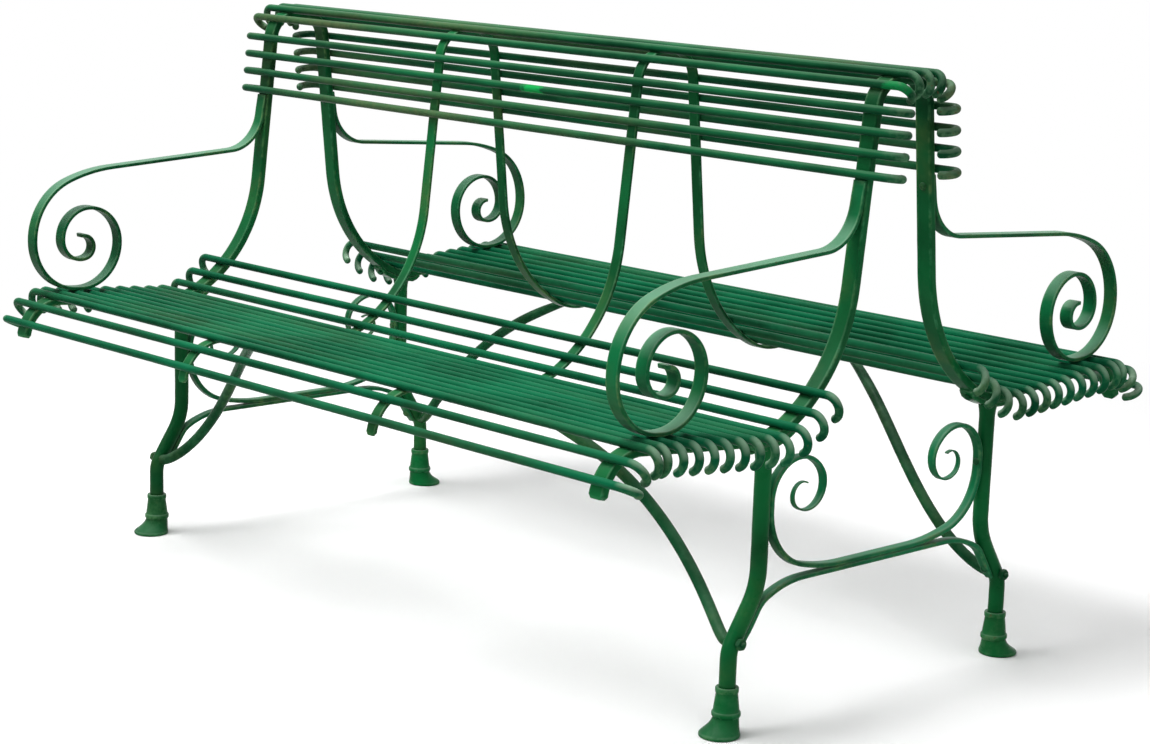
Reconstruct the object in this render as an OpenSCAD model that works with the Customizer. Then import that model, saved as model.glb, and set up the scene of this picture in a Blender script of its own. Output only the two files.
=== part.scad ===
// Wrought iron garden bench with two seats set back to back.
// The length lies along X, the front seat faces -Y, the rear seat faces +Y, and Z is up.
// The origin is on the ground under the middle of the bench.

/* [Overall] */
// Height of the top of the seat's front straight rod above the ground
seat_h = 440; // [400:1:480]
// Distance between neighbouring support frames
frame_pitch = 450; // [380:1:520]

/* [Frame bars] */
// Width of the two end frames' bar
end_bar_w = 26; // [22:1:30]
// Thickness of the two end frames' bar
end_bar_t = 12; // [10:0.5:14]
// Width of the two inner frames' bar
inner_bar_w = 20; // [16:1:26]
// Thickness of the two inner frames' bar
inner_bar_t = 5; // [4:0.5:8]
// Chamfer along the bars' edges
bar_edge = 1.5; // [0.5:0.25:1.75]

/* [Frame curve] */
// Flat length on each side of the centre line, over the top
top_flat = 15; // [12:1:22]
// Radius of the arch over the top, on the rods' side
arch_r = 46; // [42:1:52]
// Lean of the straight back from upright
back_lean = 6.3; // [4:0.1:9]
// Straight length of the back
back_len = 242; // [220:1:270]
// Radius of the bend's upper part
bend_upper_r = 229; // [210:1:250]
// Turn of the bend's upper part
bend_upper_turn = 57; // [50:1:62]
// Radius of the bend's lower part
bend_lower_r = 107; // [98:1:120]
// Slope of the seat, rising towards the sitter's knees
seat_slope = 4.6; // [2:0.1:7]
// Straight length of the seat
seat_len = 218; // [208:1:235]
// Radius of the roll at the knees
roll_r = 66; // [62:1:72]
// Turn of the roll
roll_turn = 81; // [78:1:88]
// Straight tail below the roll
tail_len = 4; // [3:1:10]
// Corner cut at the tail's end
tail_cut = 5; // [2:0.5:6]

/* [Rods] */
// Diameter of every rod
rod_d = 12; // [10:0.5:13]
// Distance from an end frame to the centre of a rod's end hook
rod_overhang = 38; // [32:1:46]
// Radius of the hooks on the seat, bend, roll and back rods
hook_r = 18; // [15:0.5:19]
// Radius of the hooks on the arch rods
arch_hook_r = 15; // [13:0.5:15]
// Turn of a hook
hook_turn = 170; // [140:1:178]
// Share of the bar's slope that the seat rods' hooks lean with
hook_lean = 0.4; // [0:0.1:1]
// Spacing of the rods over the arch
arch_pitch = 26; // [25:0.5:28]
// Distance from the last arch rod to the first back rod
back_start = 33; // [31:0.5:36]
// Spacing of the back rods
back_pitch = 29.6; // [26:0.1:32]
// Distance from the roll's start back to the first straight seat rod
seat_start = 2; // [0:0.5:4]
// Spacing of the straight seat rods
seat_pitch = 29; // [27:0.25:30]
// Spacing of the rods in the bend
bend_pitch = 35.5; // [33:0.5:38]
// Distance from the roll's start to its first rod
roll_start = 16; // [13:0.5:18]
// Spacing of the rods round the roll
roll_pitch = 32; // [28:0.5:34]

/* [Arms] */
// Width of the arm strap
arm_w = 22; // [18:1:24]
// Thickness of the arm strap
arm_t = 6; // [5:0.5:7]
// Climb of the arm's top run towards the back
arm_climb = 3.5; // [1:0.5:6]
// Flat length of the arm strap on the seat rod
arm_flat = 9; // [8:1:14]
// Radius of the front curve where it leaves the seat
arm_low_r = 80; // [74:1:88]
// Radius of the front curve at hand height
arm_high_r = 103; // [96:1:110]
// Radius of the easing into the top run
arm_ease_r = 284; // [240:1:320]
// Radius of the turn up onto the back bar
arm_back_r = 70; // [60:1:80]
// Radius of the scroll's first quarter, from the seat up
scroll_r1 = 73; // [68:1:78]
// Radius of the scroll's second quarter
scroll_r2 = 59; // [56:1:63]
// Radius of the scroll's third quarter
scroll_r3 = 50; // [47:1:54]
// Radius of the scroll's fourth quarter
scroll_r4 = 34; // [31:1:36]
// Radius of the scroll's heart
scroll_r5 = 19; // [17:0.5:21]

/* [Legs and feet] */
// Diameter of the round legs
leg_d = 24; // [20:1:26]
// Distance of the leg behind the last straight seat rod, along the bar
leg_back = 8; // [4:1:12]
// Radius of the leg's outward curve
leg_out_r = 97; // [85:1:110]
// Outward lean of the leg's slanting part
leg_lean = 33; // [28:1:38]
// Length of the leg's slanting part
leg_slant = 55; // [48:1:62]
// Radius of the leg's curve back to upright
leg_in_r = 41; // [36:1:50]
// Height of the leg's lower curve above the ground
leg_in_h = 107; // [95:1:120]
// Thickness of the saddle that joins a leg to the seat bar
saddle_t = 8; // [7:0.5:10]
// Height of a cast foot
foot_h = 68; // [60:1:76]
// Diameter of the foot's collar
foot_collar_d = 33; // [32:1:36]
// Diameter of the foot's middle ring
foot_ring_d = 41; // [39:1:46]
// Diameter of the foot's base
foot_base_d = 58; // [52:1:66]
// Distance that the foot's base reaches outwards
foot_reach = 12; // [6:1:16]
// Height of the foot's socket floor
foot_floor = 12; // [9:1:16]

/* [Stretchers] */
// Width of the end stretchers' strap
strap_w = 15; // [12:1:18]
// Thickness of the end stretchers' strap
strap_t = 7.5; // [6:0.5:8]
// Height of the upper stretcher's middle
stretcher_h = 207; // [200:1:214]
// Radius of the upper stretcher's first rise
rise_r = 338; // [300:1:370]
// Turn of the upper stretcher's first rise
rise_turn = 15; // [12:1:18]
// Radius of the upper stretcher's corner
corner_r = 89; // [82:1:95]
// Straight contact between the upper stretcher and the leg
contact_len = 11; // [8:1:14]
// Radius of the scroll's outer turn, as a share of the height from the stretcher to the seat
curl_share_1 = 0.24; // [0.22:0.005:0.25]
// Radius of the scroll's middle turn, as the same share
curl_share_2 = 0.146; // [0.135:0.001:0.155]
// Radius of the scroll's heart, as the same share
curl_share_3 = 0.0815; // [0.073:0.0005:0.09]
// Radius of the lower stretcher's fall
fall_r = 168; // [150:1:185]
// Turn of the lower stretcher's fall
fall_turn = 26; // [23:1:28]
// Radius of the lower stretcher's bend onto the leg
onto_leg_r = 45; // [40:1:50]

/* [Braces] */
// Diameter of the long curved braces
brace_d = 17; // [14:0.5:18]
// Thickness of the palm under the inner frame's bar
palm_t = 5; // [4:0.5:6]
// Length of the palm
palm_len = 44; // [40:1:50]
// Width of the palm
palm_w = 15; // [13:1:16]

/* [Fasteners] */
// Diameter of the rivets' shanks
rivet_d = 6; // [5:0.5:6]
// Diameter of the rivets' heads
rivet_head_d = 12; // [10:0.5:13]
// Height of the rivets' heads
rivet_head_h = 3.5; // [2.5:0.5:4]
// Diameter of the stretchers' studs and of the braces' screwed ends
bolt_d = 8; // [6:0.5:9]
// Width of the nuts across their flats
nut_w = 15; // [13:1:16]
// Height of the nuts
nut_h = 7; // [5:0.5:8]

/* [Hidden] */
$fn = 48;
hole_gap = 0.15;
lap = 0.6;
lap_step = 0.05;
through = 2;
sunk = 1;
arm_gap = 2;
rivet_margin = 9;
saddle_bite = 0.6;
stud_share = 0.7;
screw_end = 4;
strap_gap = 4;
strap_rivet_share = 0.6;
heart_ease = 20;
curl_ease = 15;
palm_fore = 0.45;
palm_aft = 0.65;
brace_bow = [0.285, -0.8, 0.225];
brace_rise = [0.455, -0.105, 0.95];
foot_base_share = 0.07;
foot_flare_share = 0.16;
foot_ring_share = 0.38;
foot_lip_share = 0.12;
foot_body_in = 3;
foot_neck_in = 2;
foot_waist_in = 5;
foot_flare_in = 10;
foot_flare_reach = 0.6;
back_rods = 4;
seat_rods = 9;
bend_rods = 3;
roll_rods = 3;
nut_sides = 6;
iron = "#1f6b45";
iron_dark = "#185436";

function corner_name(c) = str(c < 2 ? "front" : "rear", c % 2 == 0 ? "_left" : "_right");

// Paths: a run is [length, 0] or [radius, turn], a left turn is positive, a pose is [x, y, heading]
function after_run(p, r) = r[1] == 0
    ? [p[0] + r[0] * cos(p[2]), p[1] + r[0] * sin(p[2]), p[2]]
    : let(g = sign(r[1]) * r[0], h = p[2] + r[1])
      [p[0] + g * (sin(h) - sin(p[2])), p[1] + g * (cos(p[2]) - cos(h)), h];
function run_len(r) = r[1] == 0 ? r[0] : r[0] * abs(r[1]) * PI / 180;
function run_part(r, l) = r[1] == 0 ? [l, 0] : [r[0], sign(r[1]) * l / r[0] * 180 / PI];
function after_runs(path, n, p) = n == 0 ? p : after_run(after_runs(path, n - 1, p), path[n - 1]);
function path_len(path, n) = n == 0 ? 0 : path_len(path, n - 1) + run_len(path[n - 1]);
function pose_at(path, s, p, i = 0) = let(l = run_len(path[i]))
    s <= l || i == len(path) - 1
    ? after_run(p, run_part(path[i], s))
    : pose_at(path, s - l, after_run(p, path[i]), i + 1);
function path_part(path, s0, s1, i = 0) = i == len(path) ? [] : let(l = run_len(path[i]))
    concat(s0 < l && s1 > 0 ? [run_part(path[i], min(s1, l) - max(s0, 0))] : [],
           path_part(path, s0 - l, s1 - l, i + 1));
function moved(p, along, left) = [p[0] + along * cos(p[2]) - left * sin(p[2]),
                                  p[1] + along * sin(p[2]) + left * cos(p[2]), p[2]];
function turned_back(p) = [p[0], p[1], p[2] + 180];
function run_more(r, l) = r[1] == 0 ? [r[0] + l, 0] : [r[0], r[1] + sign(r[1]) * l / r[0] * 180 / PI];
function backed(p, r, l) = r[1] == 0 ? moved(p, -l, 0)
    : let(g = sign(r[1]) * r[0], h = p[2] - l / g * 180 / PI)
      [p[0] + g * (sin(h) - sin(p[2])), p[1] + g * (cos(p[2]) - cos(h)), h];
function reversed(path) = [for (i = [len(path) - 1:-1:0]) [path[i][0], -path[i][1]]];
// A half path from the centre line out, made whole: it starts at the far end of the mirrored half
function whole(path) = concat(
    reversed([for (i = [1:len(path) - 1]) path[i]]), [[2 * path[0][0], 0]],
    [for (i = [1:len(path) - 1]) [path[i][0], -path[i][1]]]);
function whole_start(path, start) = turned_back(after_runs(path, len(path), start));

// Frame curve on the side where the rods lie, from the top of the arch to the tail
frame_runs = [
    [top_flat, 0],
    [arch_r, back_lean - 90],
    [back_len, 0],
    [bend_upper_r, bend_upper_turn],
    [bend_lower_r, 90 - back_lean + seat_slope - bend_upper_turn],
    [seat_len, 0],
    [roll_r, -roll_turn]
];
seat_end_s = path_len(frame_runs, 6);
seat_end_drop = after_runs(frame_runs, 6, [0, 0, 0])[1];
frame_start = [0, seat_h - rod_d - seat_end_drop, 0];
end_x = 1.5 * frame_pitch;
inner_x = 0.5 * frame_pitch;

// Places of the rods along the frame curve
function arch_s(i) = arch_pitch * i;
function back_s(i) = arch_s(2) + back_start + back_pitch * (i - 1);
function seat_s(i) = seat_end_s - seat_start - seat_pitch * (i - 1);
function bend_s(i) = seat_s(seat_rods) - bend_pitch * i;
function roll_s(i) = seat_end_s + roll_start + roll_pitch * (i - 1);
function face_at(s) = pose_at(frame_runs, s, frame_start);

// Arm: the strap lies on the second straight seat rod and on the back bar's face
arm_rod = 2;
arm_foot = moved(face_at(seat_s(arm_rod)), 0, rod_d + arm_t / 2);
arm_heading = 180 - arm_climb;
arm_high_turn = 73;
arm_ease_turn = 17;
arm_front = [
    [arm_low_r, arm_heading - seat_slope - arm_high_turn - arm_ease_turn],
    [arm_high_r, arm_high_turn],
    [arm_ease_r, arm_ease_turn]
];
arm_back_turn = [arm_back_r, 90 + back_lean - arm_heading];
arm_fore = after_runs(arm_front, 3, moved(arm_foot, arm_flat / 2, 0));
back_top = face_at(back_s(back_rods));
arm_shift = after_run([0, 0, arm_heading], arm_back_turn);
back_out = [cos(back_lean), sin(back_lean)];
arm_reach = (arm_t / 2 - back_out * [arm_fore[0] + arm_shift[0] - back_top[0],
                                     arm_fore[1] + arm_shift[1] - back_top[1]])
            / (back_out * [cos(arm_heading), sin(arm_heading)]);
arm_on_back = after_runs([[arm_reach, 0], arm_back_turn], 2, arm_fore);
back_up = [-sin(back_lean), cos(back_lean)];
arm_stop = back_up * [back_top[0] - arm_on_back[0], back_top[1] - arm_on_back[1]]
           - rod_d / 2 - arm_gap;
scroll_turn = 90;
heart_turn = 170;
scroll_runs = [
    [scroll_r1, -scroll_turn - seat_slope],
    [scroll_r2, -scroll_turn],
    [scroll_r3, -scroll_turn],
    [scroll_r4, -scroll_turn - heart_ease],
    [scroll_r5, -heart_turn]
];
scroll_heart = after_runs(scroll_runs, len(scroll_runs), turned_back(moved(arm_foot, -arm_flat / 2, 0)));
arm_runs = concat(reversed(scroll_runs), [[arm_flat, 0]], arm_front,
                  [[arm_reach, 0], arm_back_turn, [arm_stop, 0]]);
arm_back_rivet = moved(arm_on_back, arm_stop / 2, 0);

// Leg: from inside the saddle under the seat bar down to the foot's socket
leg_s = seat_s(seat_rods) - leg_back;
leg_top = moved(face_at(leg_s), 0, -end_bar_t - saddle_t * saddle_bite);
leg_start = [leg_top[0], leg_top[1], -90];
leg_curve = [[leg_out_r, leg_lean], [leg_slant, 0], [leg_in_r, -leg_lean]];
leg_curve_drop = -after_runs(leg_curve, 3, [0, 0, -90])[1];
leg_straight = leg_top[1] - leg_curve_drop - leg_in_h;
leg_runs = concat([[leg_straight, 0]], leg_curve, [[leg_in_h - foot_floor, 0]]);
slant_start = after_runs(leg_runs, 2, leg_start);
brace_bolt = after_runs(leg_runs, 3, leg_start);
foot_x = after_runs(leg_runs, 4, leg_start)[0];
saddle_rivets = [(bend_s(1) + bend_s(2)) / 2, seat_s(seat_rods) + seat_pitch / 2];
saddle_from = saddle_rivets[0] - rivet_margin;
saddle_to = saddle_rivets[1] + rivet_margin;

// Upper stretcher: half of it, from the centre out to the scroll's heart
rise_runs = [[rise_r, rise_turn], [corner_r, 90 - rise_turn]];
rise_reach = after_runs(rise_runs, 2, [0, 0, 0])[0];
strap_on_leg = leg_top[0] - (leg_d + strap_t) / 2;
curl_turn = 145;
curl_h = seat_h - stretcher_h;
upper_runs = concat([[strap_on_leg - rise_reach, 0]], rise_runs, [[contact_len, 0]],
    [[curl_h * curl_share_1, curl_turn], [curl_h * curl_share_2, curl_turn + curl_ease],
     [curl_h * curl_share_3, curl_turn + 2 * curl_ease]]);
upper_start = [0, stretcher_h, 0];
stretcher_bolt = moved(after_runs(upper_runs, 3, upper_start), contact_len / 2, 0);

// Lower stretcher: it touches the upper one at the middle and runs down the leg's slant
lower_start = [0, stretcher_h - strap_t, 0];
fall_runs = [[fall_r, -fall_turn], [onto_leg_r, fall_turn + leg_lean - 90]];
fall_end = after_runs(fall_runs, 2, lower_start);
slant_out = [cos(leg_lean), sin(leg_lean)];
lower_half = (slant_out * [slant_start[0] - fall_end[0], slant_start[1] - fall_end[1]]
              - (leg_d + strap_t) / 2) / slant_out[0];
lower_on_leg = fall_end + [lower_half, 0, 0];
slant_down = [sin(leg_lean), -cos(leg_lean)];
lower_tail = slant_down * [brace_bolt[0] - lower_on_leg[0], brace_bolt[1] - lower_on_leg[1]] - strap_gap;
lower_runs = concat([[lower_half, 0]], fall_runs, [[lower_tail, 0]]);
lower_rivet = moved(lower_on_leg, lower_tail * strap_rivet_share, 0);
stud_depth = strap_t / 2 + leg_d * stud_share;

// Brace: a curve from the leg's inner side to the palm under the inner frame
palm_s = (seat_s(4) + seat_s(5)) / 2;
palm_pose = moved(face_at(palm_s), 0, -inner_bar_t);
brace_low = [end_x - leg_d / 2, brace_bolt[0], brace_bolt[1]];
brace_high = [inner_x + palm_len * palm_fore, palm_pose[0], palm_pose[1] - brace_d / 2];
brace_span = brace_high - brace_low;
brace_root = 20;
brace_rings = 24;
brace_sides = 12;
brace_points = [
    brace_low,
    brace_low - [brace_root, 0, 0],
    brace_low + share_of(brace_span, brace_bow),
    brace_low + share_of(brace_span, brace_rise),
    brace_high
];

function share_of(v, k) = [v[0] * k[0], v[1] * k[1], v[2] * k[2]];
function mix(a, b, t) = a + (b - a) * t;
function curve_point(p, t) = len(p) == 1 ? p[0]
    : curve_point([for (i = [0:len(p) - 2]) mix(p[i], p[i + 1], t)], t);
function unit(v) = v / norm(v);

// Shared forms
module front_plane() rotate([90, 0, -90]) children();
module both_seats() { children(); mirror([0, 1, 0]) children(); }
module both_ends() { children(); mirror([1, 0, 0]) children(); }
module at_corner(c)
    mirror([c % 2 == 0 ? 1 : 0, 0, 0]) mirror([0, c < 2 ? 0 : 1, 0]) children();
module at_x(x) translate([x, 0, 0]) children();
module at_pose(p) translate([p[0], p[1], 0]) rotate([0, 0, p[2]]) children();

module one_run(r) {
    if (r[1] == 0)
        rotate([90, 0, 90]) linear_extrude(r[0]) children();
    else if (r[1] > 0)
        translate([0, r[0], 0]) rotate([0, 0, -90])
            rotate_extrude(angle = r[1]) translate([r[0], 0]) mirror([1, 0]) children();
    else
        translate([0, -r[0], 0]) rotate([0, 0, 90 + r[1]])
            rotate_extrude(angle = -r[1]) translate([r[0], 0]) children();
}

// Every second run is a hair slimmer, and its neighbours lap over its ends
module sweep(path, start, end_lap = 0)
    for (i = [0:len(path) - 1]) {
        full = i % 2 == 0;
        lap_in = full ? (i == 0 ? end_lap : lap) : 0;
        lap_out = full ? (i == len(path) - 1 ? end_lap : lap) : 0;
        at_pose(backed(after_runs(path, i, start), path[i], lap_in))
            one_run(run_more(path[i], lap_in + lap_out)) let($slim = full ? 0 : lap_step) children();
    }

module flat_bar(w, low, high, edge) {
    a = low + $slim;
    b = high - $slim;
    h = w / 2 - $slim;
    polygon([[a + edge, -h], [b - edge, -h], [b, -h + edge], [b, h - edge],
             [b - edge, h], [a + edge, h], [a, h - edge], [a, -h + edge]]);
}

module round_bar(d) circle(d = d - 2 * $slim);

module round_head(d, h)
    rotate_extrude() polygon([[0, 0], [d / 2, 0], [d * 0.46, h * 0.45], [d * 0.33, h * 0.82],
                              [d * 0.16, h], [0, h]]);

// A rivet along the local Y axis, flush at y = 0 and headed below its grip
module rivet(grip)
    rotate([-90, 0, 0]) {
        translate([0, 0, -grip - sunk]) cylinder(d = rivet_d, h = grip + sunk);
        translate([0, 0, -grip]) mirror([0, 0, 1]) round_head(rivet_head_d, rivet_head_h);
    }

// A stud along the local Y axis, headed at y = 0, whose shank goes into the leg
module stud(d)
    rotate([-90, 0, 0]) {
        round_head(rivet_head_d, rivet_head_h);
        translate([0, 0, -strap_t / 2 - stud_depth]) cylinder(d = d, h = strap_t / 2 + stud_depth + sunk);
    }

module stud_hole(d)
    rotate([-90, 0, 0]) cylinder(d = d + 2 * hole_gap, h = stud_depth + hole_gap);

module rivet_hole(depth)
    rotate([-90, 0, 0]) translate([0, 0, -depth]) cylinder(d = rivet_d + 2 * hole_gap, h = 2 * depth);

// Support frames
module frame_bar(w, t, edge) {
    h = w / 2 - lap_step;
    tail_end = tail_len + tail_cut;
    front_plane() sweep(whole(frame_runs), whole_start(frame_runs, frame_start), lap)
        flat_bar(w, 0, t, edge);
    both_seats() front_plane() at_pose(after_runs(frame_runs, len(frame_runs), frame_start))
        translate([0, -lap_step, 0]) rotate([90, 0, 0]) linear_extrude(t - 2 * lap_step)
            polygon([[0, -h], [tail_len, -h], [tail_end, tail_cut - h],
                     [tail_end, h - tail_cut], [tail_len, h], [0, h]]);
}

module end_frame(side)
    color(iron) at_x(side * end_x) difference() {
        frame_bar(end_bar_w, end_bar_t, bar_edge);
        both_seats() front_plane() {
            at_pose(arm_back_rivet) rivet_hole(arm_t + end_bar_t + through);
            for (s = saddle_rivets) at_pose(face_at(s)) rivet_hole(end_bar_t + through);
        }
    }

module inner_frame(side)
    color(iron) at_x(side * inner_x) difference() {
        frame_bar(inner_bar_w, inner_bar_t, bar_edge);
        both_seats() front_plane() at_pose(face_at(palm_s)) rivet_hole(inner_bar_t + through);
    }

// Rods
module hooked_rod(s, r, lean)
    front_plane() let(p = face_at(s)) at_pose(p)
        translate([0, rod_d / 2, 0]) rotate([0, 0, -(1 - lean) * p[2]]) {
            cylinder(d = rod_d, h = 2 * (end_x + rod_overhang), center = true);
            for (m = [0, 1]) mirror([0, 0, m])
                translate([0, -r, end_x + rod_overhang]) rotate([90, 0, 90])
                    rotate_extrude(angle = hook_turn) translate([r, 0]) circle(d = rod_d);
        }

module arch_rod_top() color(iron) hooked_rod(0, arch_hook_r, 1);
module arch_rods(i) color(iron) both_seats() hooked_rod(arch_s(i), arch_hook_r, 1);
module back_rods(i) color(iron) both_seats() hooked_rod(back_s(i), hook_r, 1);
module bend_rods(i) color(iron) both_seats() hooked_rod(bend_s(i), hook_r, hook_lean);
module roll_rods(i) color(iron) both_seats() hooked_rod(roll_s(i), hook_r, 1);
module seat_rods(i) color(iron) both_seats() hooked_rod(seat_s(i), hook_r, hook_lean);

// Arms
module arm(c)
    color(iron) at_corner(c) at_x(end_x) front_plane() difference() {
        sweep(arm_runs, turned_back(scroll_heart)) flat_bar(arm_w, -arm_t / 2, arm_t / 2, bar_edge);
        at_pose(arm_back_rivet) rivet_hole(arm_t + through);
    }

// Legs
module leg(c)
    color(iron_dark) at_corner(c) at_x(end_x) front_plane() difference() {
        union() {
            sweep(leg_runs, leg_start) round_bar(leg_d);
            sweep(path_part(frame_runs, saddle_from, saddle_to), face_at(saddle_from))
                flat_bar(end_bar_w, -end_bar_t - saddle_t, -end_bar_t, bar_edge);
        }
        for (s = saddle_rivets) at_pose(face_at(s)) rivet_hole(end_bar_t + saddle_t + through);
        translate([brace_bolt[0], brace_bolt[1], -leg_d])
            cylinder(d = bolt_d + 2 * hole_gap, h = 2 * leg_d);
        at_pose(stretcher_bolt) rotate([180, 0, 0]) stud_hole(bolt_d);
        at_pose(lower_rivet) stud_hole(rivet_d);
    }

// Cast feet
module foot_flare()
    translate([foot_reach * foot_flare_reach, 0, foot_h * foot_flare_share])
        cylinder(d = foot_base_d - foot_flare_in, h = sunk);

module foot(c)
    color(iron_dark) at_corner(c) at_x(end_x) front_plane() translate([foot_x, 0, 0]) rotate([-90, 0, 0]) {
        difference() {
            union() {
                translate([0, 0, foot_h * (foot_ring_share + foot_lip_share / 2)])
                    cylinder(d1 = foot_ring_d - foot_body_in, d2 = foot_collar_d - foot_neck_in,
                             h = foot_h / 2);
                translate([0, 0, foot_h * (1 - foot_lip_share)])
                    cylinder(d = foot_collar_d, h = foot_h * foot_lip_share);
                translate([0, 0, foot_h * foot_ring_share])
                    cylinder(d = foot_ring_d, h = foot_h * foot_lip_share);
                hull() {
                    translate([0, 0, foot_h * foot_ring_share])
                        cylinder(d = foot_ring_d - foot_waist_in, h = sunk);
                    foot_flare();
                }
                hull() {
                    foot_flare();
                    translate([foot_reach, 0, 0]) cylinder(d = foot_base_d, h = foot_h * foot_base_share);
                }
            }
            translate([0, 0, foot_floor]) cylinder(d = leg_d + 2 * hole_gap, h = foot_h);
        }
    }

// End stretchers
module strap() flat_bar(strap_w, -strap_t / 2, strap_t / 2, bar_edge / 2);

module upper_stretcher(side)
    color(iron) at_x(side * end_x) difference() {
        front_plane() sweep(whole(upper_runs), whole_start(upper_runs, upper_start)) strap();
        both_seats() front_plane() {
            at_pose(stretcher_bolt) rotate([-90, 0, 0])
                cylinder(d = bolt_d + 2 * hole_gap, h = 4 * strap_t, center = true);
        }
    }

module lower_stretcher(side)
    color(iron) at_x(side * end_x) difference() {
        front_plane() sweep(whole(lower_runs), whole_start(lower_runs, lower_start)) strap();
        both_seats() front_plane() at_pose(lower_rivet) rivet_hole(2 * strap_t);
    }

// Braces
function ring_pose(i) = let(t = i / brace_rings,
    tangent = unit(curve_point(brace_points, t + 0.001) - curve_point(brace_points, t - 0.001)),
    side = unit(cross(tangent, [0, 0, 1])))
    [curve_point(brace_points, t), side, cross(side, tangent)];

module brace_bar() {
    rings = [for (i = [0:brace_rings]) let(p = ring_pose(i))
        for (k = [0:brace_sides - 1])
            p[0] + brace_d / 2 * (cos(k * 360 / brace_sides) * p[1] + sin(k * 360 / brace_sides) * p[2])];
    last = brace_rings * brace_sides;
    polyhedron(points = rings, faces = concat(
        [[for (k = [brace_sides - 1:-1:0]) k]],
        [[for (k = [0:brace_sides - 1]) last + k]],
        [for (i = [0:brace_rings - 1]) for (k = [0:brace_sides - 1])
            let(a = i * brace_sides + k, b = i * brace_sides + (k + 1) % brace_sides)
            [a, b + brace_sides, a + brace_sides]],
        [for (i = [0:brace_rings - 1]) for (k = [0:brace_sides - 1])
            let(a = i * brace_sides + k, b = i * brace_sides + (k + 1) % brace_sides)
            [a, b, b + brace_sides]]));
}

module brace(c)
    color(iron_dark) at_corner(c) {
        mirror([0, 1, 0]) brace_bar();
        translate([brace_low[0] - screw_end, -brace_bolt[0], brace_bolt[1]]) rotate([0, 90, 0])
            cylinder(d = bolt_d, h = leg_d + nut_h + 2 * screw_end);
        at_x(inner_x) front_plane() at_pose(palm_pose) difference() {
            translate([-palm_w / 2, -palm_t, -palm_len * palm_aft]) cube([palm_w, palm_t, palm_len]);
            rivet_hole(palm_t + through);
        }
    }

// Fasteners
module arm_back_rivets()
    color(iron_dark) both_ends() both_seats() at_x(end_x) front_plane()
        at_pose(arm_back_rivet) rotate([0, 0, 180]) translate([0, arm_t / 2, 0]) rivet(arm_t + end_bar_t);

module leg_rivets()
    color(iron_dark) both_ends() both_seats() at_x(end_x) front_plane()
        for (s = saddle_rivets) at_pose(face_at(s)) rivet(end_bar_t + saddle_t);

module brace_rivets()
    color(iron_dark) both_ends() both_seats() at_x(inner_x) front_plane()
        at_pose(face_at(palm_s)) rivet(inner_bar_t + palm_t);

module nut() cylinder(d = nut_w / cos(180 / nut_sides), h = nut_h, $fn = nut_sides);

module brace_nuts()
    color(iron_dark) both_ends() both_seats()
        translate([end_x + leg_d / 2, -brace_bolt[0], brace_bolt[1]]) rotate([0, 90, 0])
            difference() {
                nut();
                translate([0, 0, -sunk]) cylinder(d = bolt_d + 2 * hole_gap, h = nut_h + 2 * sunk);
            }

module stretcher_bolts()
    color(iron_dark) both_ends() both_seats() at_x(end_x) front_plane()
        at_pose(stretcher_bolt) translate([0, strap_t / 2, 0]) stud(bolt_d);

module stretcher_rivets()
    color(iron_dark) both_ends() both_seats() at_x(end_x) front_plane()
        at_pose(lower_rivet) rotate([180, 0, 0]) translate([0, strap_t / 2, 0]) stud(rivet_d);

end_frame(-1);  // end_frame_left
inner_frame(-1);  // inner_frame_left
inner_frame(1);  // inner_frame_right
end_frame(1);  // end_frame_right
arch_rod_top();
arch_rods(1);  // arch_rods_inner
arch_rods(2);  // arch_rods_outer
for (i = [1:back_rods]) back_rods(i);
for (i = [1:bend_rods]) bend_rods(i);
for (i = [1:seat_rods]) seat_rods(i);
for (i = [1:roll_rods]) roll_rods(i);
for (c = [0:3]) arm(c);
for (c = [0:3]) leg(c);
for (c = [0:3]) foot(c);
for (c = [0:3]) brace(c);
upper_stretcher(-1);  // upper_stretcher_left
upper_stretcher(1);  // upper_stretcher_right
lower_stretcher(-1);  // lower_stretcher_left
lower_stretcher(1);  // lower_stretcher_right
arm_back_rivets();
leg_rivets();
brace_rivets();
brace_nuts();
stretcher_bolts();
stretcher_rivets();
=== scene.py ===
"""Looks of a wrought iron garden bench with two seats set back to back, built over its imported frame."""

import logging
import math
from collections.abc import Callable
from dataclasses import dataclass
from enum import Enum
from functools import partial

import bmesh
import bpy
from mathutils import Matrix, Vector, noise

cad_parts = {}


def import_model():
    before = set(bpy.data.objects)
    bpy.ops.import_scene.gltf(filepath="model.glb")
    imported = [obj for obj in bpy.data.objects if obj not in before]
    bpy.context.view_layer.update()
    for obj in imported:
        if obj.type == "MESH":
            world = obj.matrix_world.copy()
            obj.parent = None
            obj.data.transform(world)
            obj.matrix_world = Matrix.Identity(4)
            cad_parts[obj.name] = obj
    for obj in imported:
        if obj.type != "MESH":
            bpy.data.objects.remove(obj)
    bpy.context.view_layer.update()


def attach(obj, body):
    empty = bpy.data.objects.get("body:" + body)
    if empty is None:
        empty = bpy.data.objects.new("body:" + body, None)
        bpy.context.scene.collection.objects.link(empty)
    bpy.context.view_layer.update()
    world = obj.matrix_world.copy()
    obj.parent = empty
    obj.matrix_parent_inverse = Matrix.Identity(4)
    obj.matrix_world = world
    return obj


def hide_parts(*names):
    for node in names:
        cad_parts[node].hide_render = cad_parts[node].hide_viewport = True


LOG = logging.getLogger("bench")
IMAGE_WIDTH = 1150
IMAGE_HEIGHT = 744
# Point attribute of wear on edges and hook ends; the paints also lay their painted highlight on hook tops
# and rubbed edges by it
WEAR = "edge_wear"
REACH = "reach"
FACING = "facing"
TINY = 1e-6
ACROSS = Vector((0, 1, 0))
UPWARD = Vector((0, 0, 1))
CLOUD_ROUGHNESS = 0.55


class Side(Enum):
    """Seat side of the bench, as the sign of Y."""

    FRONT = -1
    REAR = 1


class End(Enum):
    """End of the bench, as the sign of X."""

    LEFT = -1
    RIGHT = 1


# Paths


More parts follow.
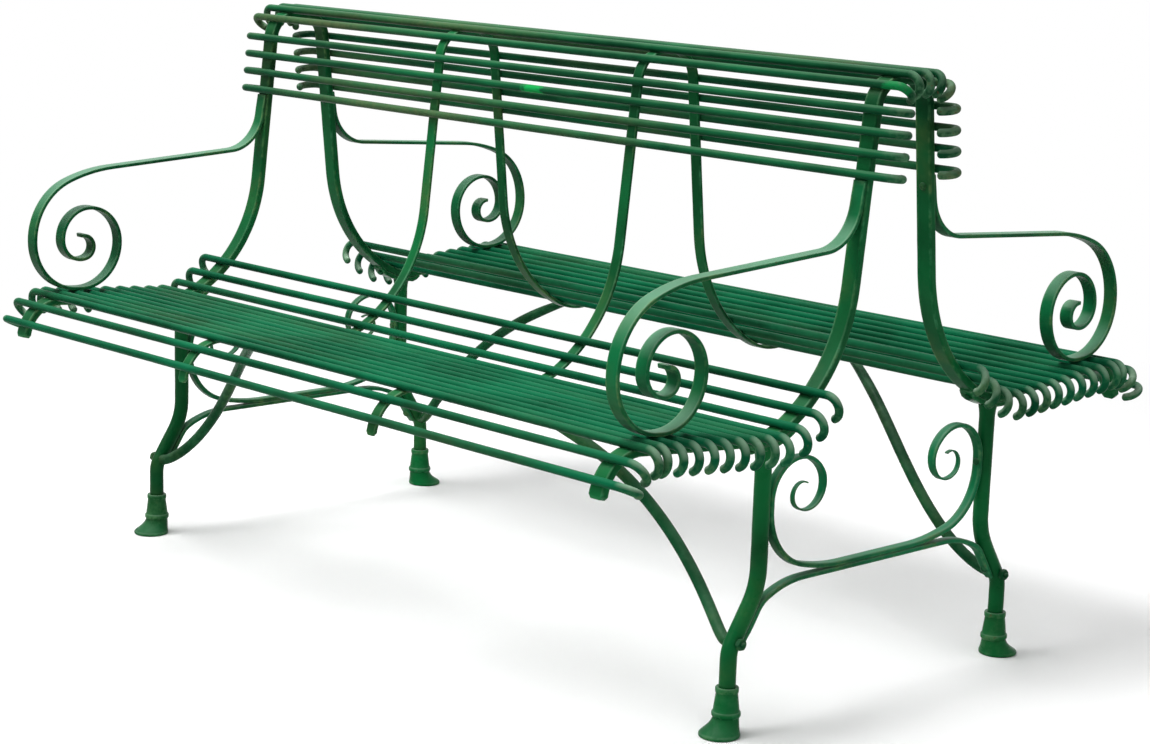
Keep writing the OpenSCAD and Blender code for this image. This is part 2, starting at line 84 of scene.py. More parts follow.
@dataclass(frozen=True)
class Pose:
    """A place and heading in the plane of distance from the middle and height."""

    out: float
    up: float
    heading: float = 0.0

    def moved(self, along: float, left: float) -> "Pose":
        """Shifts the pose.

        Args:
            along: Distance along the heading, in metres.
            left: Distance to the left of the heading, in metres.

        Returns:
            The shifted pose with the same heading.
        """
        c = math.cos(math.radians(self.heading))
        s = math.sin(math.radians(self.heading))
        return Pose(self.out + along * c - left * s, self.up + along * s + left * c, self.heading)

    def turned_back(self) -> "Pose":
        """Returns the same place seen the other way."""
        return Pose(self.out, self.up, self.heading + 180)

    def at(self, side: Side, x: float) -> Vector:
        """Returns the pose's point on one seat side, at a place along the bench."""
        return Vector((x, side.value * self.out, self.up))


@dataclass(frozen=True)
class Corner:
    """One of the bench's four corners."""

    side: Side
    end: End

    @property
    def name(self) -> str:
        """Name of the corner in the names of its pieces."""
        return f"{self.side.name}_{self.end.name}".lower()

    def x(self, distance: float) -> float:
        """Returns the place along the bench at a distance from the middle."""
        return self.end.value * distance

    def spot(self, pose: Pose, distance: float) -> Vector:
        """Returns a pose's point at a distance from the middle."""
        return pose.at(self.side, self.x(distance))

    def outward_turn(self) -> Matrix:
        """Returns the turn that points local Z out of the bench's end."""
        return Matrix.Rotation(math.radians(self.end.value * 90), 4, "Y")


CORNERS = [Corner(side, end) for side in Side for end in End]


@dataclass(frozen=True)
class Run:
    """One straight length, or one arc where a turn in degrees is given."""

    size: float
    turn: float = 0.0

    def length(self) -> float:
        """Returns the run's length in metres."""
        return self.size if self.turn == 0 else self.size * abs(math.radians(self.turn))

    def after(self, pose: Pose, along: float) -> Pose:
        """Follows the run from a pose.

        Args:
            pose: Where the run starts.
            along: Distance along the run, in metres.

        Returns:
            The pose at that distance.
        """
        if self.turn == 0:
            return pose.moved(along, 0)
        bend = math.copysign(self.size, self.turn)
        ahead = pose.heading + math.degrees(along / bend)
        h0 = math.radians(pose.heading)
        h1 = math.radians(ahead)
        return Pose(pose.out + bend * (math.sin(h1) - math.sin(h0)),
                    pose.up + bend * (math.cos(h0) - math.cos(h1)), ahead)


@dataclass(frozen=True)
class Path:
    """Runs that follow each other from a starting pose."""

    start: Pose
    runs: tuple[Run, ...]

    def length(self) -> float:
        """Returns the whole length in metres."""
        return sum(run.length() for run in self.runs)

    def pose(self, along: float) -> Pose:
        """Finds a pose on the path.

        Args:
            along: Distance from the start, in metres. Past the last run it goes on in its curve.

        Returns:
            The pose at that distance.
        """
        here = self.start
        for run in self.runs[:-1]:
            if along <= run.length():
                return run.after(here, along)
            here = run.after(here, run.length())
            along -= run.length()
        return self.runs[-1].after(here, along)

    def end(self) -> Pose:
        """Returns the pose at the path's end."""
        return self.pose(self.length())

    def backwards(self) -> "Path":
        """Returns the same path followed from its end."""
        return Path(self.end().turned_back(), tuple(Run(r.size, -r.turn) for r in reversed(self.runs)))

    def whole(self) -> "Path":
        """Joins the mirrored half and this half, for a path that starts level on the middle line.

        Returns:
            The whole path, from the mirrored half's far end.
        """
        half = self.runs[1:]
        end = self.end()
        return Path(Pose(-end.out, end.up, -end.heading), half[::-1] + (Run(2 * self.runs[0].size),) + half)

    def stations(self, step: float, fine: float) -> list[float]:
        """Spaces rings along the path.

        Args:
            step: Longest distance between rings, in metres.
            fine: Largest turn between rings, in degrees.

        Returns:
            Distances from the start, in metres, with every run's ends among them.
        """
        places = [0.0]
        for run in self.runs:
            count = max(1, math.ceil(run.length() / step), math.ceil(abs(run.turn) / fine))
            base = places[-1]
            places += [base + run.length() * (i + 1) / count for i in range(count)]
        return places


# Sizes of the bench, in metres and degrees


@dataclass(frozen=True)
class BenchSizes:
    """Driving sizes that several pieces share."""

    seat_height: float = 0.440
    frame_pitch: float = 0.450
    end_bar_width: float = 0.026
    end_bar_depth: float = 0.012
    inner_bar_width: float = 0.020
    inner_bar_depth: float = 0.005
    rod_diameter: float = 0.012
    top_flat: float = 0.015
    arch_radius: float = 0.046
    back_lean: float = 6.3
    back_length: float = 0.242
    bend_upper_radius: float = 0.229
    bend_upper_turn: float = 57
    bend_lower_radius: float = 0.107
    seat_slope: float = 4.6
    seat_length: float = 0.218
    roll_radius: float = 0.066
    roll_turn: float = 81
    arch_pitch: float = 0.026
    back_start: float = 0.033
    back_pitch: float = 0.0296
    seat_start: float = 0.002
    seat_pitch: float = 0.029
    bend_pitch: float = 0.0355
    roll_start: float = 0.016
    roll_pitch: float = 0.032
    back_rods: int = 4
    seat_rods: int = 9
    bend_rods: int = 3
    roll_rods: int = 3
    arm_rod: int = 2
    leg_diameter: float = 0.024
    leg_back: float = 0.008
    leg_out_radius: float = 0.097
    leg_lean: float = 33
    leg_slant: float = 0.055
    leg_in_radius: float = 0.041
    leg_in_height: float = 0.107
    foot_socket: float = 0.012
    saddle_depth: float = 0.008
    saddle_bite: float = 0.6
    rivet_margin: float = 0.009
    strap_width: float = 0.015
    strap_depth: float = 0.0075
    nut_width: float = 0.015
    nut_height: float = 0.007
    bolt_diameter: float = 0.008

    @property
    def end_x(self) -> float:
        """Distance of the end frames from the middle."""
        return 1.5 * self.frame_pitch

    @property
    def inner_x(self) -> float:
        """Distance of the inner frames from the middle."""
        return 0.5 * self.frame_pitch

    def half_frame(self) -> Path:
        """Lays out half of the bars' outer curve.

        Returns:
            The curve from the top of the arch to the end of the roll.
        """
        runs = (
            Run(self.top_flat),
            Run(self.arch_radius, self.back_lean - 90),
            Run(self.back_length),
            Run(self.bend_upper_radius, self.bend_upper_turn),
            Run(self.bend_lower_radius, 90 - self.back_lean + self.seat_slope - self.bend_upper_turn),
            Run(self.seat_length),
            Run(self.roll_radius, -self.roll_turn),
        )
        drop = Path(Pose(0, 0), runs[:-1]).end().up
        return Path(Pose(0, self.seat_height - self.rod_diameter - drop), runs)

    @property
    def seat_end(self) -> float:
        """Distance along the frame curve to the end of the flat seat."""
        return sum(run.length() for run in self.half_frame().runs[:-1])

    def arch_place(self, number: int) -> float:
        """Returns where an arch rod crosses the frame curve."""
        return self.arch_pitch * number

    def back_place(self, number: int) -> float:
        """Returns where a back rod crosses the frame curve."""
        return self.arch_place(2) + self.back_start + self.back_pitch * (number - 1)

    def seat_place(self, number: int) -> float:
        """Returns where a seat rod crosses the frame curve."""
        return self.seat_end - self.seat_start - self.seat_pitch * (number - 1)

    def bend_place(self, number: int) -> float:
        """Returns where a rod of the bend crosses the frame curve."""
        return self.seat_place(self.seat_rods) - self.bend_pitch * number

    def roll_place(self, number: int) -> float:
        """Returns where a rod of the roll crosses the frame curve."""
        return self.seat_end + self.roll_start + self.roll_pitch * (number - 1)

    def face(self, along: float) -> Pose:
        """Returns the pose on the bars' outer face."""
        return self.half_frame().pose(along)

    def saddle_rivets(self) -> tuple[float, float]:
        """Returns where the saddle's two rivets cross the frame curve."""
        return ((self.bend_place(1) + self.bend_place(2)) / 2,
                self.seat_place(self.seat_rods) + self.seat_pitch / 2)

    def leg_path(self) -> Path:
        """Lays out a leg's middle line.

        Returns:
            The line from inside the saddle to the foot's socket.
        """
        place = self.seat_place(self.seat_rods) - self.leg_back
        top = self.face(place).moved(0, -self.end_bar_depth - self.saddle_depth * self.saddle_bite)
        start = Pose(top.out, top.up, -90)
        curve = (Run(self.leg_out_radius, self.leg_lean), Run(self.leg_slant),
                 Run(self.leg_in_radius, -self.leg_lean))
        drop = Path(Pose(0, 0, -90), curve).end().up
        straight = top.up + drop - self.leg_in_height
        return Path(start, (Run(straight),) + curve + (Run(self.leg_in_height - self.foot_socket),))

    def slant_start(self) -> Pose:
        """Returns where a leg's slanting part starts."""
        leg = self.leg_path()
        return Path(leg.start, leg.runs[:2]).end()

    def brace_bolt(self) -> Pose:
        """Returns where the brace goes through a leg."""
        leg = self.leg_path()
        return Path(leg.start, leg.runs[:3]).end()


# Mesh making

# Points round a bar's rounded edge, and its plain margins beside the edge in edge radii
EDGE_STEPS = 4
FACE_MARGIN = 1.3
FLANK_MARGIN = 1.1

# Scale of the hammer's dents, in cells in a metre
HAMMER_SCALE = 55

# A nut's points round it, its chamfer as a share of its width, the chamfer's slope and its wear
NUT_SIDES = 36
NUT_CHAMFER = 0.96
NUT_SLOPE = 0.6
NUT_WEAR = 0.6


def turns(sides: int) -> list[float]:
    """Returns the angles of points evenly spaced round a circle."""
    return [2 * math.pi * k / sides for k in range(sides)]


def hollow(point: Vector, scale: float) -> float:
    """Returns how deep a dent is at a point, from 0 to 1."""
    return 0.5 + 0.5 * noise.noise(point * scale)


@dataclass(frozen=True)
class SectionPoint:
    """A point of a bar's section: left of the path, across it, and how much it wears."""

    left: float
    across: float
    wear: float


def bar_section(width: float, low: float, high: float, edge: float) -> list[SectionPoint]:
    """Draws a flat bar's section with rounded edges.

    Args:
        width: Width across the path.
        low: Lower face, to the left of the path.
        high: Upper face, to the left of the path.
        edge: Radius of the four edges.

    Returns:
        The section's points in order, with wear on the edges only.
    """
    points = []
    half = width / 2
    flank = min(edge * FACE_MARGIN, half - edge)
    side = min(edge * FLANK_MARGIN, (high - low) / 2 - edge)
    for sx, sz in ((1, -1), (1, 1), (-1, 1), (-1, -1)):
        cx = sx * (half - edge)
        cz = high - edge if sz > 0 else low + edge
        arc = []
        for step in range(EDGE_STEPS):
            turn = math.radians(90 * step / (EDGE_STEPS - 1))
            arc.append(SectionPoint(cz + sz * edge * math.sin(turn), cx + sx * edge * math.cos(turn), 1.0))
        before = SectionPoint(cz - sz * side, sx * half, 0.0)
        after = SectionPoint(high if sz > 0 else low, cx - sx * flank, 0.0)
        run = [before] + arc + [after]
        points += run if sx * sz > 0 else run[::-1]
    return points


def round_section(diameter: float, sides: int = 24) -> list[SectionPoint]:
    """Returns the points of a round bar's section in order."""
    r = diameter / 2
    return [SectionPoint(r * math.cos(turn), r * math.sin(turn), 0.0) for turn in turns(sides)]


def smooth_step(value: float) -> float:
    """Returns an eased share of a value held between 0 and 1."""
    held = min(1.0, max(0.0, value))
    return held * held * (3 - 2 * held)


def eased(near: float, reach: float, least: float) -> float:
    """Returns a share that grows smoothly from its least value to 1 over a reach."""
    return least + (1 - least) * smooth_step(near / reach)


def rounded(near: float, reach: float, least: float = 0.0) -> float:
    """Returns the share of its full size that a round end has near its tip."""
    return math.sqrt(max(least, 1 - (1 - min(1.0, near / reach)) ** 2))


@dataclass(frozen=True)
class Shape:
    """How a section is scaled at one place: across, and towards its low and high face."""

    across: float = 1.0
    low: float = 1.0
    high: float = 1.0
    wear: float = 0.0


def plain_shape(along: float, length: float) -> Shape:
    """Keeps the section as it is all along a path."""
    return Shape()


class IronMesh:
    """Gathers closed shells into one mesh, with a wear value at each point."""

    def __init__(self, unevenness: float = 0.0) -> None:
        """Starts an empty mesh.

        Args:
            unevenness: Largest inward dent left by the hammer, in metres.
        """
        self.points: list[Vector] = []
        self.faces: list[list[int]] = []
        self.wear: list[float] = []
        self.unevenness = unevenness

    def shell(self, rings: list[list[Vector]], wears: list[list[float]]) -> None:
        """Adds one closed shell made of rings of equal length.

        Args:
            rings: Points of each ring, in order along the piece.
            wears: Wear of each point.
        """
        base = len(self.points)
        count = len(rings[0])
        for ring, wear in zip(rings, wears):
            self.points += ring
            self.wear += wear
        for i in range(len(rings) - 1):
            for k in range(count):
                a = base + i * count + k
                b = base + i * count + (k + 1) % count
                self.faces.append([a, b, b + count, a + count])
        last = base + (len(rings) - 1) * count
        self.faces.append([base + k for k in range(count)][::-1])
        self.faces.append([last + k for k in range(count)])

    def sweep(self, path: Path, section: list[SectionPoint], side: Side, x: float,
              shape: Callable[[float, float], Shape] = plain_shape, step: float = 0.010,
              fine: float = 5.0) -> None:
        """Sweeps a section along a path.

        Args:
            path: The middle line.
            section: Points of the section.
            side: Seat side that the path is for.
            x: Place along the bench.
            shape: Gives the section's scale at a distance along the path.
            step: Longest distance between rings.
            fine: Largest turn between rings.
        """
        rings = []
        wears = []
        length = path.length()
        for along in path.stations(step, fine):
            pose = path.pose(along)
            scale = shape(along, length)
            ring = []
            wear = []
            for p in section:
                left = p.left * (scale.high if p.left > 0 else scale.low)
                across = p.across * scale.across
                spot = pose.moved(0, left).at(side, x + across)
                if self.unevenness:
                    dent = self.unevenness * hollow(spot, HAMMER_SCALE)
                    spot += (pose.at(side, x) - spot).normalized() * dent
                ring.append(spot)
                wear.append(max(p.wear, scale.wear))
            rings.append(ring)
            wears.append(wear)
        self.shell(rings, wears)

    def turned(self, profile: list[tuple[float, float, float]], place: Matrix, sides: int = 32,
               wear: float = 0.0) -> None:
        """Adds a turned form from rings of height, radius and sideways shift.

        Args:
            profile: Height, radius and shift along local X of each ring.
            place: Matrix that puts the form on the bench.
            sides: Points round it.
            wear: Wear all over it.
        """
        rings = []
        for height, radius, shift in profile:
            rings.append([place @ Vector((shift + radius * math.cos(turn), radius * math.sin(turn), height))
                          for turn in turns(sides)])
        self.shell(rings, [[wear] * sides for _ in rings])

    def nut(self, width: float, height: float, place: Matrix) -> None:
        """Adds a hexagonal nut with turned corners.

        Args:
            width: Width across the flats.
            height: Height of the nut.
            place: Matrix that puts its seat on the bench, with local Z outwards.
        """
        chamfer = NUT_CHAMFER * width / 2
        rings = []
        for level, cut in ((0.0, True), (0.0, False), (1.0, False), (1.0, True)):
            ring = []
            for turn in turns(NUT_SIDES):
                flat = width / 2 / math.cos((turn + math.pi / 6) % (math.pi / 3) - math.pi / 6)
                drop = max(0.0, flat - chamfer) * NUT_SLOPE
                radius = min(flat, chamfer) if cut else flat
                up = level * height + (0 if cut else (drop if level == 0 else -drop))
                ring.append(place @ Vector((radius * math.cos(turn), radius * math.sin(turn), up)))
            rings.append(ring)
        self.shell(rings, [[NUT_WEAR] * NUT_SIDES for _ in rings])

    def build(self, name: str, sharp: float = 38.0) -> bpy.types.Object:
        """Makes the object.

        Args:
            name: Name of the piece.
            sharp: Angle in degrees past which an edge stays sharp.

        Returns:
            The new object, at the origin.
        """
        mesh = bpy.data.meshes.new(name)
        mesh.from_pydata(self.points, [], self.faces)
        layer = mesh.attributes.new(WEAR, "FLOAT", "POINT")
        layer.data.foreach_set("value", self.wear)
        mesh.validate()
        turn_outwards(mesh)
        mesh.polygons.foreach_set("use_smooth", [True] * len(mesh.polygons))
        mesh.set_sharp_from_angle(angle=math.radians(sharp))
        return placed(name, mesh)


def placed(name: str, data: bpy.types.ID) -> bpy.types.Object:
    """Makes an object of its data and puts it in the scene.

    Args:
        name: Name of the object.
        data: Its mesh, lamp or camera.

    Returns:
        The new object, at the origin.
    """
    made = bpy.data.objects.new(name, data)
    bpy.context.scene.collection.objects.link(made)
    return made


def turn_outwards(mesh: bpy.types.Mesh) -> None:
    """Turns every closed shell's faces outwards.

    Args:
        mesh: The mesh to mend.
    """
    work = bmesh.new()
    work.from_mesh(mesh)
    bmesh.ops.recalc_face_normals(work, faces=work.faces)
    work.to_mesh(mesh)
    work.free()


# Node trees


@dataclass(frozen=True)
class Ramp:
    """A range of values and the range, of numbers or sockets, that it is mapped onto."""

    low: float
    high: float
    start: object = 0.0
    stop: object = 1.0

    def between(self, start: object, stop: object) -> "Ramp":
        """Returns the same range of values mapped onto another range."""
        return Ramp(self.low, self.high, start, stop)


class TreeMaker:
    """Adds nodes to a tree and joins them."""

    def __init__(self, tree: bpy.types.NodeTree) -> None:
        """Works on a tree."""
        self.tree = tree

    def node(self, kind: str, inputs: dict[str | int, object] | None = None,
             **settings: object) -> bpy.types.Node:
        """Adds a node.

        Args:
            kind: Type name of the node.
            inputs: Values or sockets for its inputs, by name or number.
            settings: Options of the node.

        Returns:
            The new node.
        """
        made = self.tree.nodes.new(kind)
        for name, value in settings.items():
            setattr(made, name, value)
        for name, value in (inputs or {}).items():
            self.put(made.inputs[name], value)
        return made

    def put(self, socket: bpy.types.NodeSocket, value: object) -> None:
        """Links a socket, or sets its value.

        Args:
            socket: The input to fill.
            value: A socket to link from, or a plain value.
        """
        if isinstance(value, bpy.types.NodeSocket):
            self.tree.links.new(value, socket)
        else:
            socket.default_value = value

    def math(self, operation: str, first: object, second: object = 0.0,
             clamp: bool = False) -> bpy.types.NodeSocket:
        """Adds a math node and returns its result.

        Args:
            operation: Name of the operation.
            first: First value or socket.
            second: Second value or socket.
            clamp: Whether the result is held between 0 and 1.

        Returns:
            The result's socket.
        """
        made = self.node("ShaderNodeMath", {0: first}, operation=operation, use_clamp=clamp)
        if len(made.inputs) > 1:
            self.put(made.inputs[1], second)
        return made.outputs[0]

    def times(self, first: object, second: object) -> bpy.types.NodeSocket:
        """Multiplies two values or sockets and returns the result's socket."""
        return self.math("MULTIPLY", first, second)

    def spread(self, value: object, ramp: Ramp) -> bpy.types.NodeSocket:
        """Maps a value or socket by a ramp and returns the result's socket."""
        inputs = {"Value": value, 1: ramp.low, 2: ramp.high, 3: ramp.start, 4: ramp.stop}
        return self.node("ShaderNodeMapRange", inputs).outputs[0]

    def vector(self, operation: str, first: object, second: object = None) -> bpy.types.Node:
        """Adds a vector math node.

        Args:
            operation: Name of the operation.
            first: First vector or socket.
            second: Second vector or socket, if the operation has one.

        Returns:
            The new node.
        """
        made = self.node("ShaderNodeVectorMath", {0: first}, operation=operation)
        if second is not None:
            self.put(made.inputs[1], second)
        return made

    def cloud(self, place: bpy.types.NodeSocket, scale: float, detail: float) -> bpy.types.NodeSocket:
        """Adds a noise texture.

        Args:
            place: Coordinates to read.
            scale: Cells in a metre.
            detail: Layers of smaller noise.

        Returns:
            The noise's value.
        """
        made = self.node("ShaderNodeTexNoise", {"Vector": place, "Scale": scale, "Detail": detail})
        made.inputs["Roughness"].default_value = CLOUD_ROUGHNESS
        return made.outputs[0]

    def bump(self, strength: float, distance: float, height: bpy.types.NodeSocket,
             under: bpy.types.NodeSocket | None = None, inward: bool = False) -> bpy.types.NodeSocket:
        """Adds a bump.

        Args:
            strength: How much of it shows.
            distance: Its height in metres.
            height: The pattern to raise.
            under: The bump that it lies on.
            inward: Whether the pattern is sunk instead.

        Returns:
            The bumped normal's socket.
        """
        made = self.node("ShaderNodeBump", {"Strength": strength, "Distance": distance, "Height": height},
                         invert=inward)
        if under:
            self.put(made.inputs["Normal"], under)
        return made.outputs[0]

    def mark(self, geometry: bpy.types.NodeSocket, name: str, value: object) -> bpy.types.NodeSocket:
        """Stores a value at each point of a geometry.

        Args:
            geometry: The geometry's socket.
            name: Name of the attribute.
            value: Value or socket to store.

        Returns:
            The marked geometry's socket.
        """
        made = self.node("GeometryNodeStoreNamedAttribute",
                         {"Geometry": geometry, "Name": name, "Value": value},
                         data_type="FLOAT", domain="POINT")
        return made.outputs[0]

    def blend(self, share: object, first: object, second: object) -> bpy.types.NodeSocket:
        """Adds a colour mix and returns its result.

        Args:
            share: How much of the second colour shows.
            first: First colour or socket.
            second: Second colour or socket.

        Returns:
            The mixed colour's socket.
        """
        made = self.node("ShaderNodeMix", data_type="RGBA")
        self.put(made.inputs[0], share)
        self.put(made.inputs[6], first)
        self.put(made.inputs[7], second)
        return made.outputs[2]


def linear(hex_colour: str) -> tuple[float, float, float, float]:
    """Turns a written colour into linear values.

    Args:
        hex_colour: Colour as six hexadecimal digits.

    Returns:
        Linear red, green, blue and full alpha.
    """
    values = [int(hex_colour[i:i + 2], 16) / 255 for i in (0, 2, 4)]
    red, green, blue = [v / 12.92 if v <= 0.04045 else ((v + 0.055) / 1.055) ** 2.4 for v in values]
    return (red, green, blue, 1.0)


# Finishes


class Cloud(Enum):
    """Noise of the paint, as cells in a metre and layers of smaller noise."""

    BROAD = (5.0, 2.0)
    MOTTLE = (30.0, 4.0)
    PATCH = (9.0, 3.0)
    SCUFF = (120.0, 6.0)
    PEEL = (420.0, 2.0)
    HOLLOW = (26.0, 1.0)


# Where each noise or the upward slope starts and stops to show. The upward slope lays a painted sheen on
# tops and painted shade on undersides.
BODY_CLOUD = Ramp(0.38, 0.62)
LIGHT_MOTTLE = Ramp(0.48, 0.75, 0.0, 0.12)
# Tops painted paler: partly dust on the old paint, partly a painted sheen of the sky's light
TOP_SHEEN_SLOPE = Ramp(0.35, 0.95)
TOP_SHEEN_MOTTLE = Ramp(0.3, 0.65, 0.8, 1.0)
# Undersides painted darker: painted shade
UNDER_SHADE_SLOPE = Ramp(-0.8, 0.1, 0.85, 0.0)
SPOT_PATCH = Ramp(0.50, 0.70)
SPOT_SCUFF = Ramp(0.35, 0.65, 0.55, 1.0)
# Upward-facing edges and hook ends painted pale: partly bleached paint, partly a painted highlight
BLEACH_SHEEN_SLOPE = Ramp(0.05, 0.85)
BLEACH_SHEEN_MOTTLE = Ramp(0.32, 0.6, 0.5, 1.0)
RUB_MOTTLE = Ramp(0.42, 0.62)
RUB_SCUFF = Ramp(0.38, 0.58, 0.25, 1.0)
OLD_PATCH = Ramp(0.42, 0.56, 0.0, 0.9)
CHIP_SCUFF = Ramp(0.66, 0.72)
DAB_EDGE = Ramp(1.25, 1.5, 0.85, 0.0)
GLOSS_MOTTLE = Ramp(0.3, 0.7)

# Roughness under and over the gloss, and what rubbing adds
GLOSS_UNDER = 0.06
GLOSS_OVER = 0.12
RUB_ROUGHNESS = 0.25

# Depths of the paint's grain, the hammer's dents and the chips, in metres
GRAIN_DEPTH = 0.0004
DENT_DEPTH = 0.0012
CHIP_DEPTH = 0.0005
CHIP_STRENGTH = 0.5


@dataclass(frozen=True)
class Dab:
    """A small patch of newer, brighter paint."""

    place: Vector
    reach: tuple[float, float, float]
    colour: str = "109044"


@dataclass(frozen=True)
class Marks:
    """Patterns that the colour and the surface of one paint share."""

    place: bpy.types.NodeSocket
    upward: bpy.types.NodeSocket
    edge: bpy.types.NodeSocket
    mottle: bpy.types.NodeSocket
    scuff: bpy.types.NodeSocket
    patch: bpy.types.NodeSocket
    rub: bpy.types.NodeSocket
    chip: bpy.types.NodeSocket


@dataclass(frozen=True)
class PaintFinish:
    """Old gloss paint over iron: worn edges lightened partly as a painted highlight, stained patches, tops
    painted paler as dust and a painted sheen, and undersides painted darker as painted shade.
    """

    name: str
    slot: str
    body: str
    # Darkest paint tone, laid at random and as painted shade on undersides
    deep_and_shade: str
    light: str
    # Pale tone on tops: dust and a painted sheen
    dust_and_sheen: str = "5d8c70"
    # Pale tone on upward edges and hook ends: bleached paint and a painted highlight
    bleached_and_sheen: str = "86a58c"
    # Lighter green on rubbed edges: worn paint, partly a painted edge highlight
    rubbed_and_sheen: str = "3f8058"
    worn: str = "59622f"
    stain: str = "4a3c26"
    wear: float = 0.5
    patches: float = 0.2
    # How much of the pale top tone shows: dust and a painted sheen
    fade_and_sheen: float = 0.2
    gloss: float = 0.34
    grain: float = 0.25
    dents: float = 0.25
    # How much of the pale edge tone shows: bleaching and a painted highlight
    bleaching_and_sheen: float = 0.6
    patch_stretch: float = 1.0
    shine: float = 0.04
    dabs: tuple[Dab, ...] = ()

    def material(self) -> bpy.types.Material:
        """Builds the paint's material, or returns it if it has been built.

        Returns:
            The material.
        """
        found = bpy.data.materials.get(self.name)
        if found:
            return found
        made = bpy.data.materials.new(self.name)
        made.use_nodes = True
        made.node_tree.nodes.clear()
        t = TreeMaker(made.node_tree)
        marks = self.marks(t)
        gloss = GLOSS_MOTTLE.between(self.gloss - GLOSS_UNDER, self.gloss + GLOSS_OVER)
        rough = t.math("ADD", t.spread(marks.mottle, gloss), t.times(marks.rub, RUB_ROUGHNESS), clamp=True)
        fine = t.bump(self.grain, GRAIN_DEPTH, t.cloud(marks.place, *Cloud.PEEL.value))
        coarse = t.bump(self.dents, DENT_DEPTH, t.cloud(marks.place, *Cloud.HOLLOW.value), fine)
        flaked = t.bump(CHIP_STRENGTH, CHIP_DEPTH, marks.chip, coarse, inward=True)
        shader = t.node("ShaderNodeBsdfPrincipled", {"Base Color": self.colour(t, marks),
                                                     "Roughness": rough, "Normal": flaked})
        shader.inputs["Specular IOR Level"].default_value = self.shine
        t.node("ShaderNodeOutputMaterial", {"Surface": shader.outputs[0]})
        return made

    def marks(self, t: TreeMaker) -> Marks:
        """Adds the patterns of the paint.

        Args:
            t: Maker of the material's tree.

        Returns:
            The patterns.
        """
        place = t.node("ShaderNodeTexCoord").outputs["Object"]
        stretched = t.node("ShaderNodeMapping", {"Vector": place}, vector_type="POINT")
        stretched.inputs["Scale"].default_value = (1 / self.patch_stretch, 1, 1)
        normal = t.node("ShaderNodeNewGeometry").outputs["Normal"]
        upward = t.node("ShaderNodeSeparateXYZ", {0: normal}).outputs[2]
        edge = t.node("ShaderNodeAttribute", attribute_name=WEAR).outputs["Fac"]
        mottle = t.cloud(place, *Cloud.MOTTLE.value)
        scuff = t.cloud(place, *Cloud.SCUFF.value)
        patch = t.cloud(stretched.outputs[0], *Cloud.PATCH.value)
        rub = t.times(t.times(edge, t.spread(mottle, RUB_MOTTLE)), t.spread(scuff, RUB_SCUFF))
        rub = t.math("MULTIPLY", rub, self.wear, clamp=True)
        chip = t.times(edge, t.spread(scuff, CHIP_SCUFF.between(0.0, self.wear)))
        return Marks(place, upward, edge, mottle, scuff, patch, rub, chip)

    def colour(self, t: TreeMaker, m: Marks) -> bpy.types.NodeSocket:
        """Lays the paint's colours over each other.

        Args:
            t: Maker of the material's tree.
            m: Patterns of the paint.

        Returns:
            The colour's socket.
        """
        cloud = t.spread(t.cloud(m.place, *Cloud.BROAD.value), BODY_CLOUD)
        # Paler tops: dust on the old paint and a painted sheen
        top = t.times(t.spread(m.upward, TOP_SHEEN_SLOPE.between(0.0, self.fade_and_sheen)), t.spread(m.mottle, TOP_SHEEN_MOTTLE))
        spots = t.times(t.spread(m.patch, SPOT_PATCH.between(0.0, self.patches)),
                        t.spread(m.scuff, SPOT_SCUFF))
        # Pale upward edges and hook ends: bleached paint and a painted highlight
        bleach_and_sheen = t.times(t.spread(m.upward, BLEACH_SHEEN_SLOPE.between(0.0, self.bleaching_and_sheen)),
                         t.times(m.edge, t.spread(m.mottle, BLEACH_SHEEN_MOTTLE)))
        # Layers include painted shade on undersides and lighter rubbed edges that are partly a painted
        # highlight
        layers = [(cloud, self.body), (t.spread(m.mottle, LIGHT_MOTTLE), self.light), (top, self.dust_and_sheen),
                  (t.spread(m.upward, UNDER_SHADE_SLOPE), self.deep_and_shade), (spots, self.worn),
                  (bleach_and_sheen, self.bleached_and_sheen), (m.rub, self.rubbed_and_sheen),
                  (t.times(m.rub, t.spread(m.patch, OLD_PATCH)), self.worn), (m.chip, self.stain)]
        layers += [(self.cover(t, m, dab), dab.colour) for dab in self.dabs]
        colour = linear(self.deep_and_shade)
        for share, over in layers:
            colour = t.blend(share, colour, linear(over))
        return colour

    def cover(self, t: TreeMaker, m: Marks, dab: Dab) -> bpy.types.NodeSocket:
        """Marks where a dab of newer paint lies, with a ragged edge.

        Args:
            t: Maker of the material's tree.
            m: Patterns of the paint.
            dab: The dab.

        Returns:
            The dab's cover, from 0 to 1.
        """
        away = t.vector("SUBTRACT", m.place, dab.place).outputs[0]
        scaled = t.vector("DIVIDE", away, dab.reach).outputs[0]
        far = t.vector("LENGTH", scaled).outputs["Value"]
        return t.spread(t.math("ADD", far, m.scuff), DAB_EDGE)


BENCH = BenchSizes()
BACK_DABS = (
    Dab(BENCH.face(BENCH.back_place(2)).at(Side.FRONT, 0.012), (0.030, 0.02, 0.02)),
    Dab(BENCH.face(BENCH.arch_place(2)).at(Side.FRONT, BENCH.end_x + 0.035), (0.026, 0.02, 0.014),
        "0c6c38"),
)
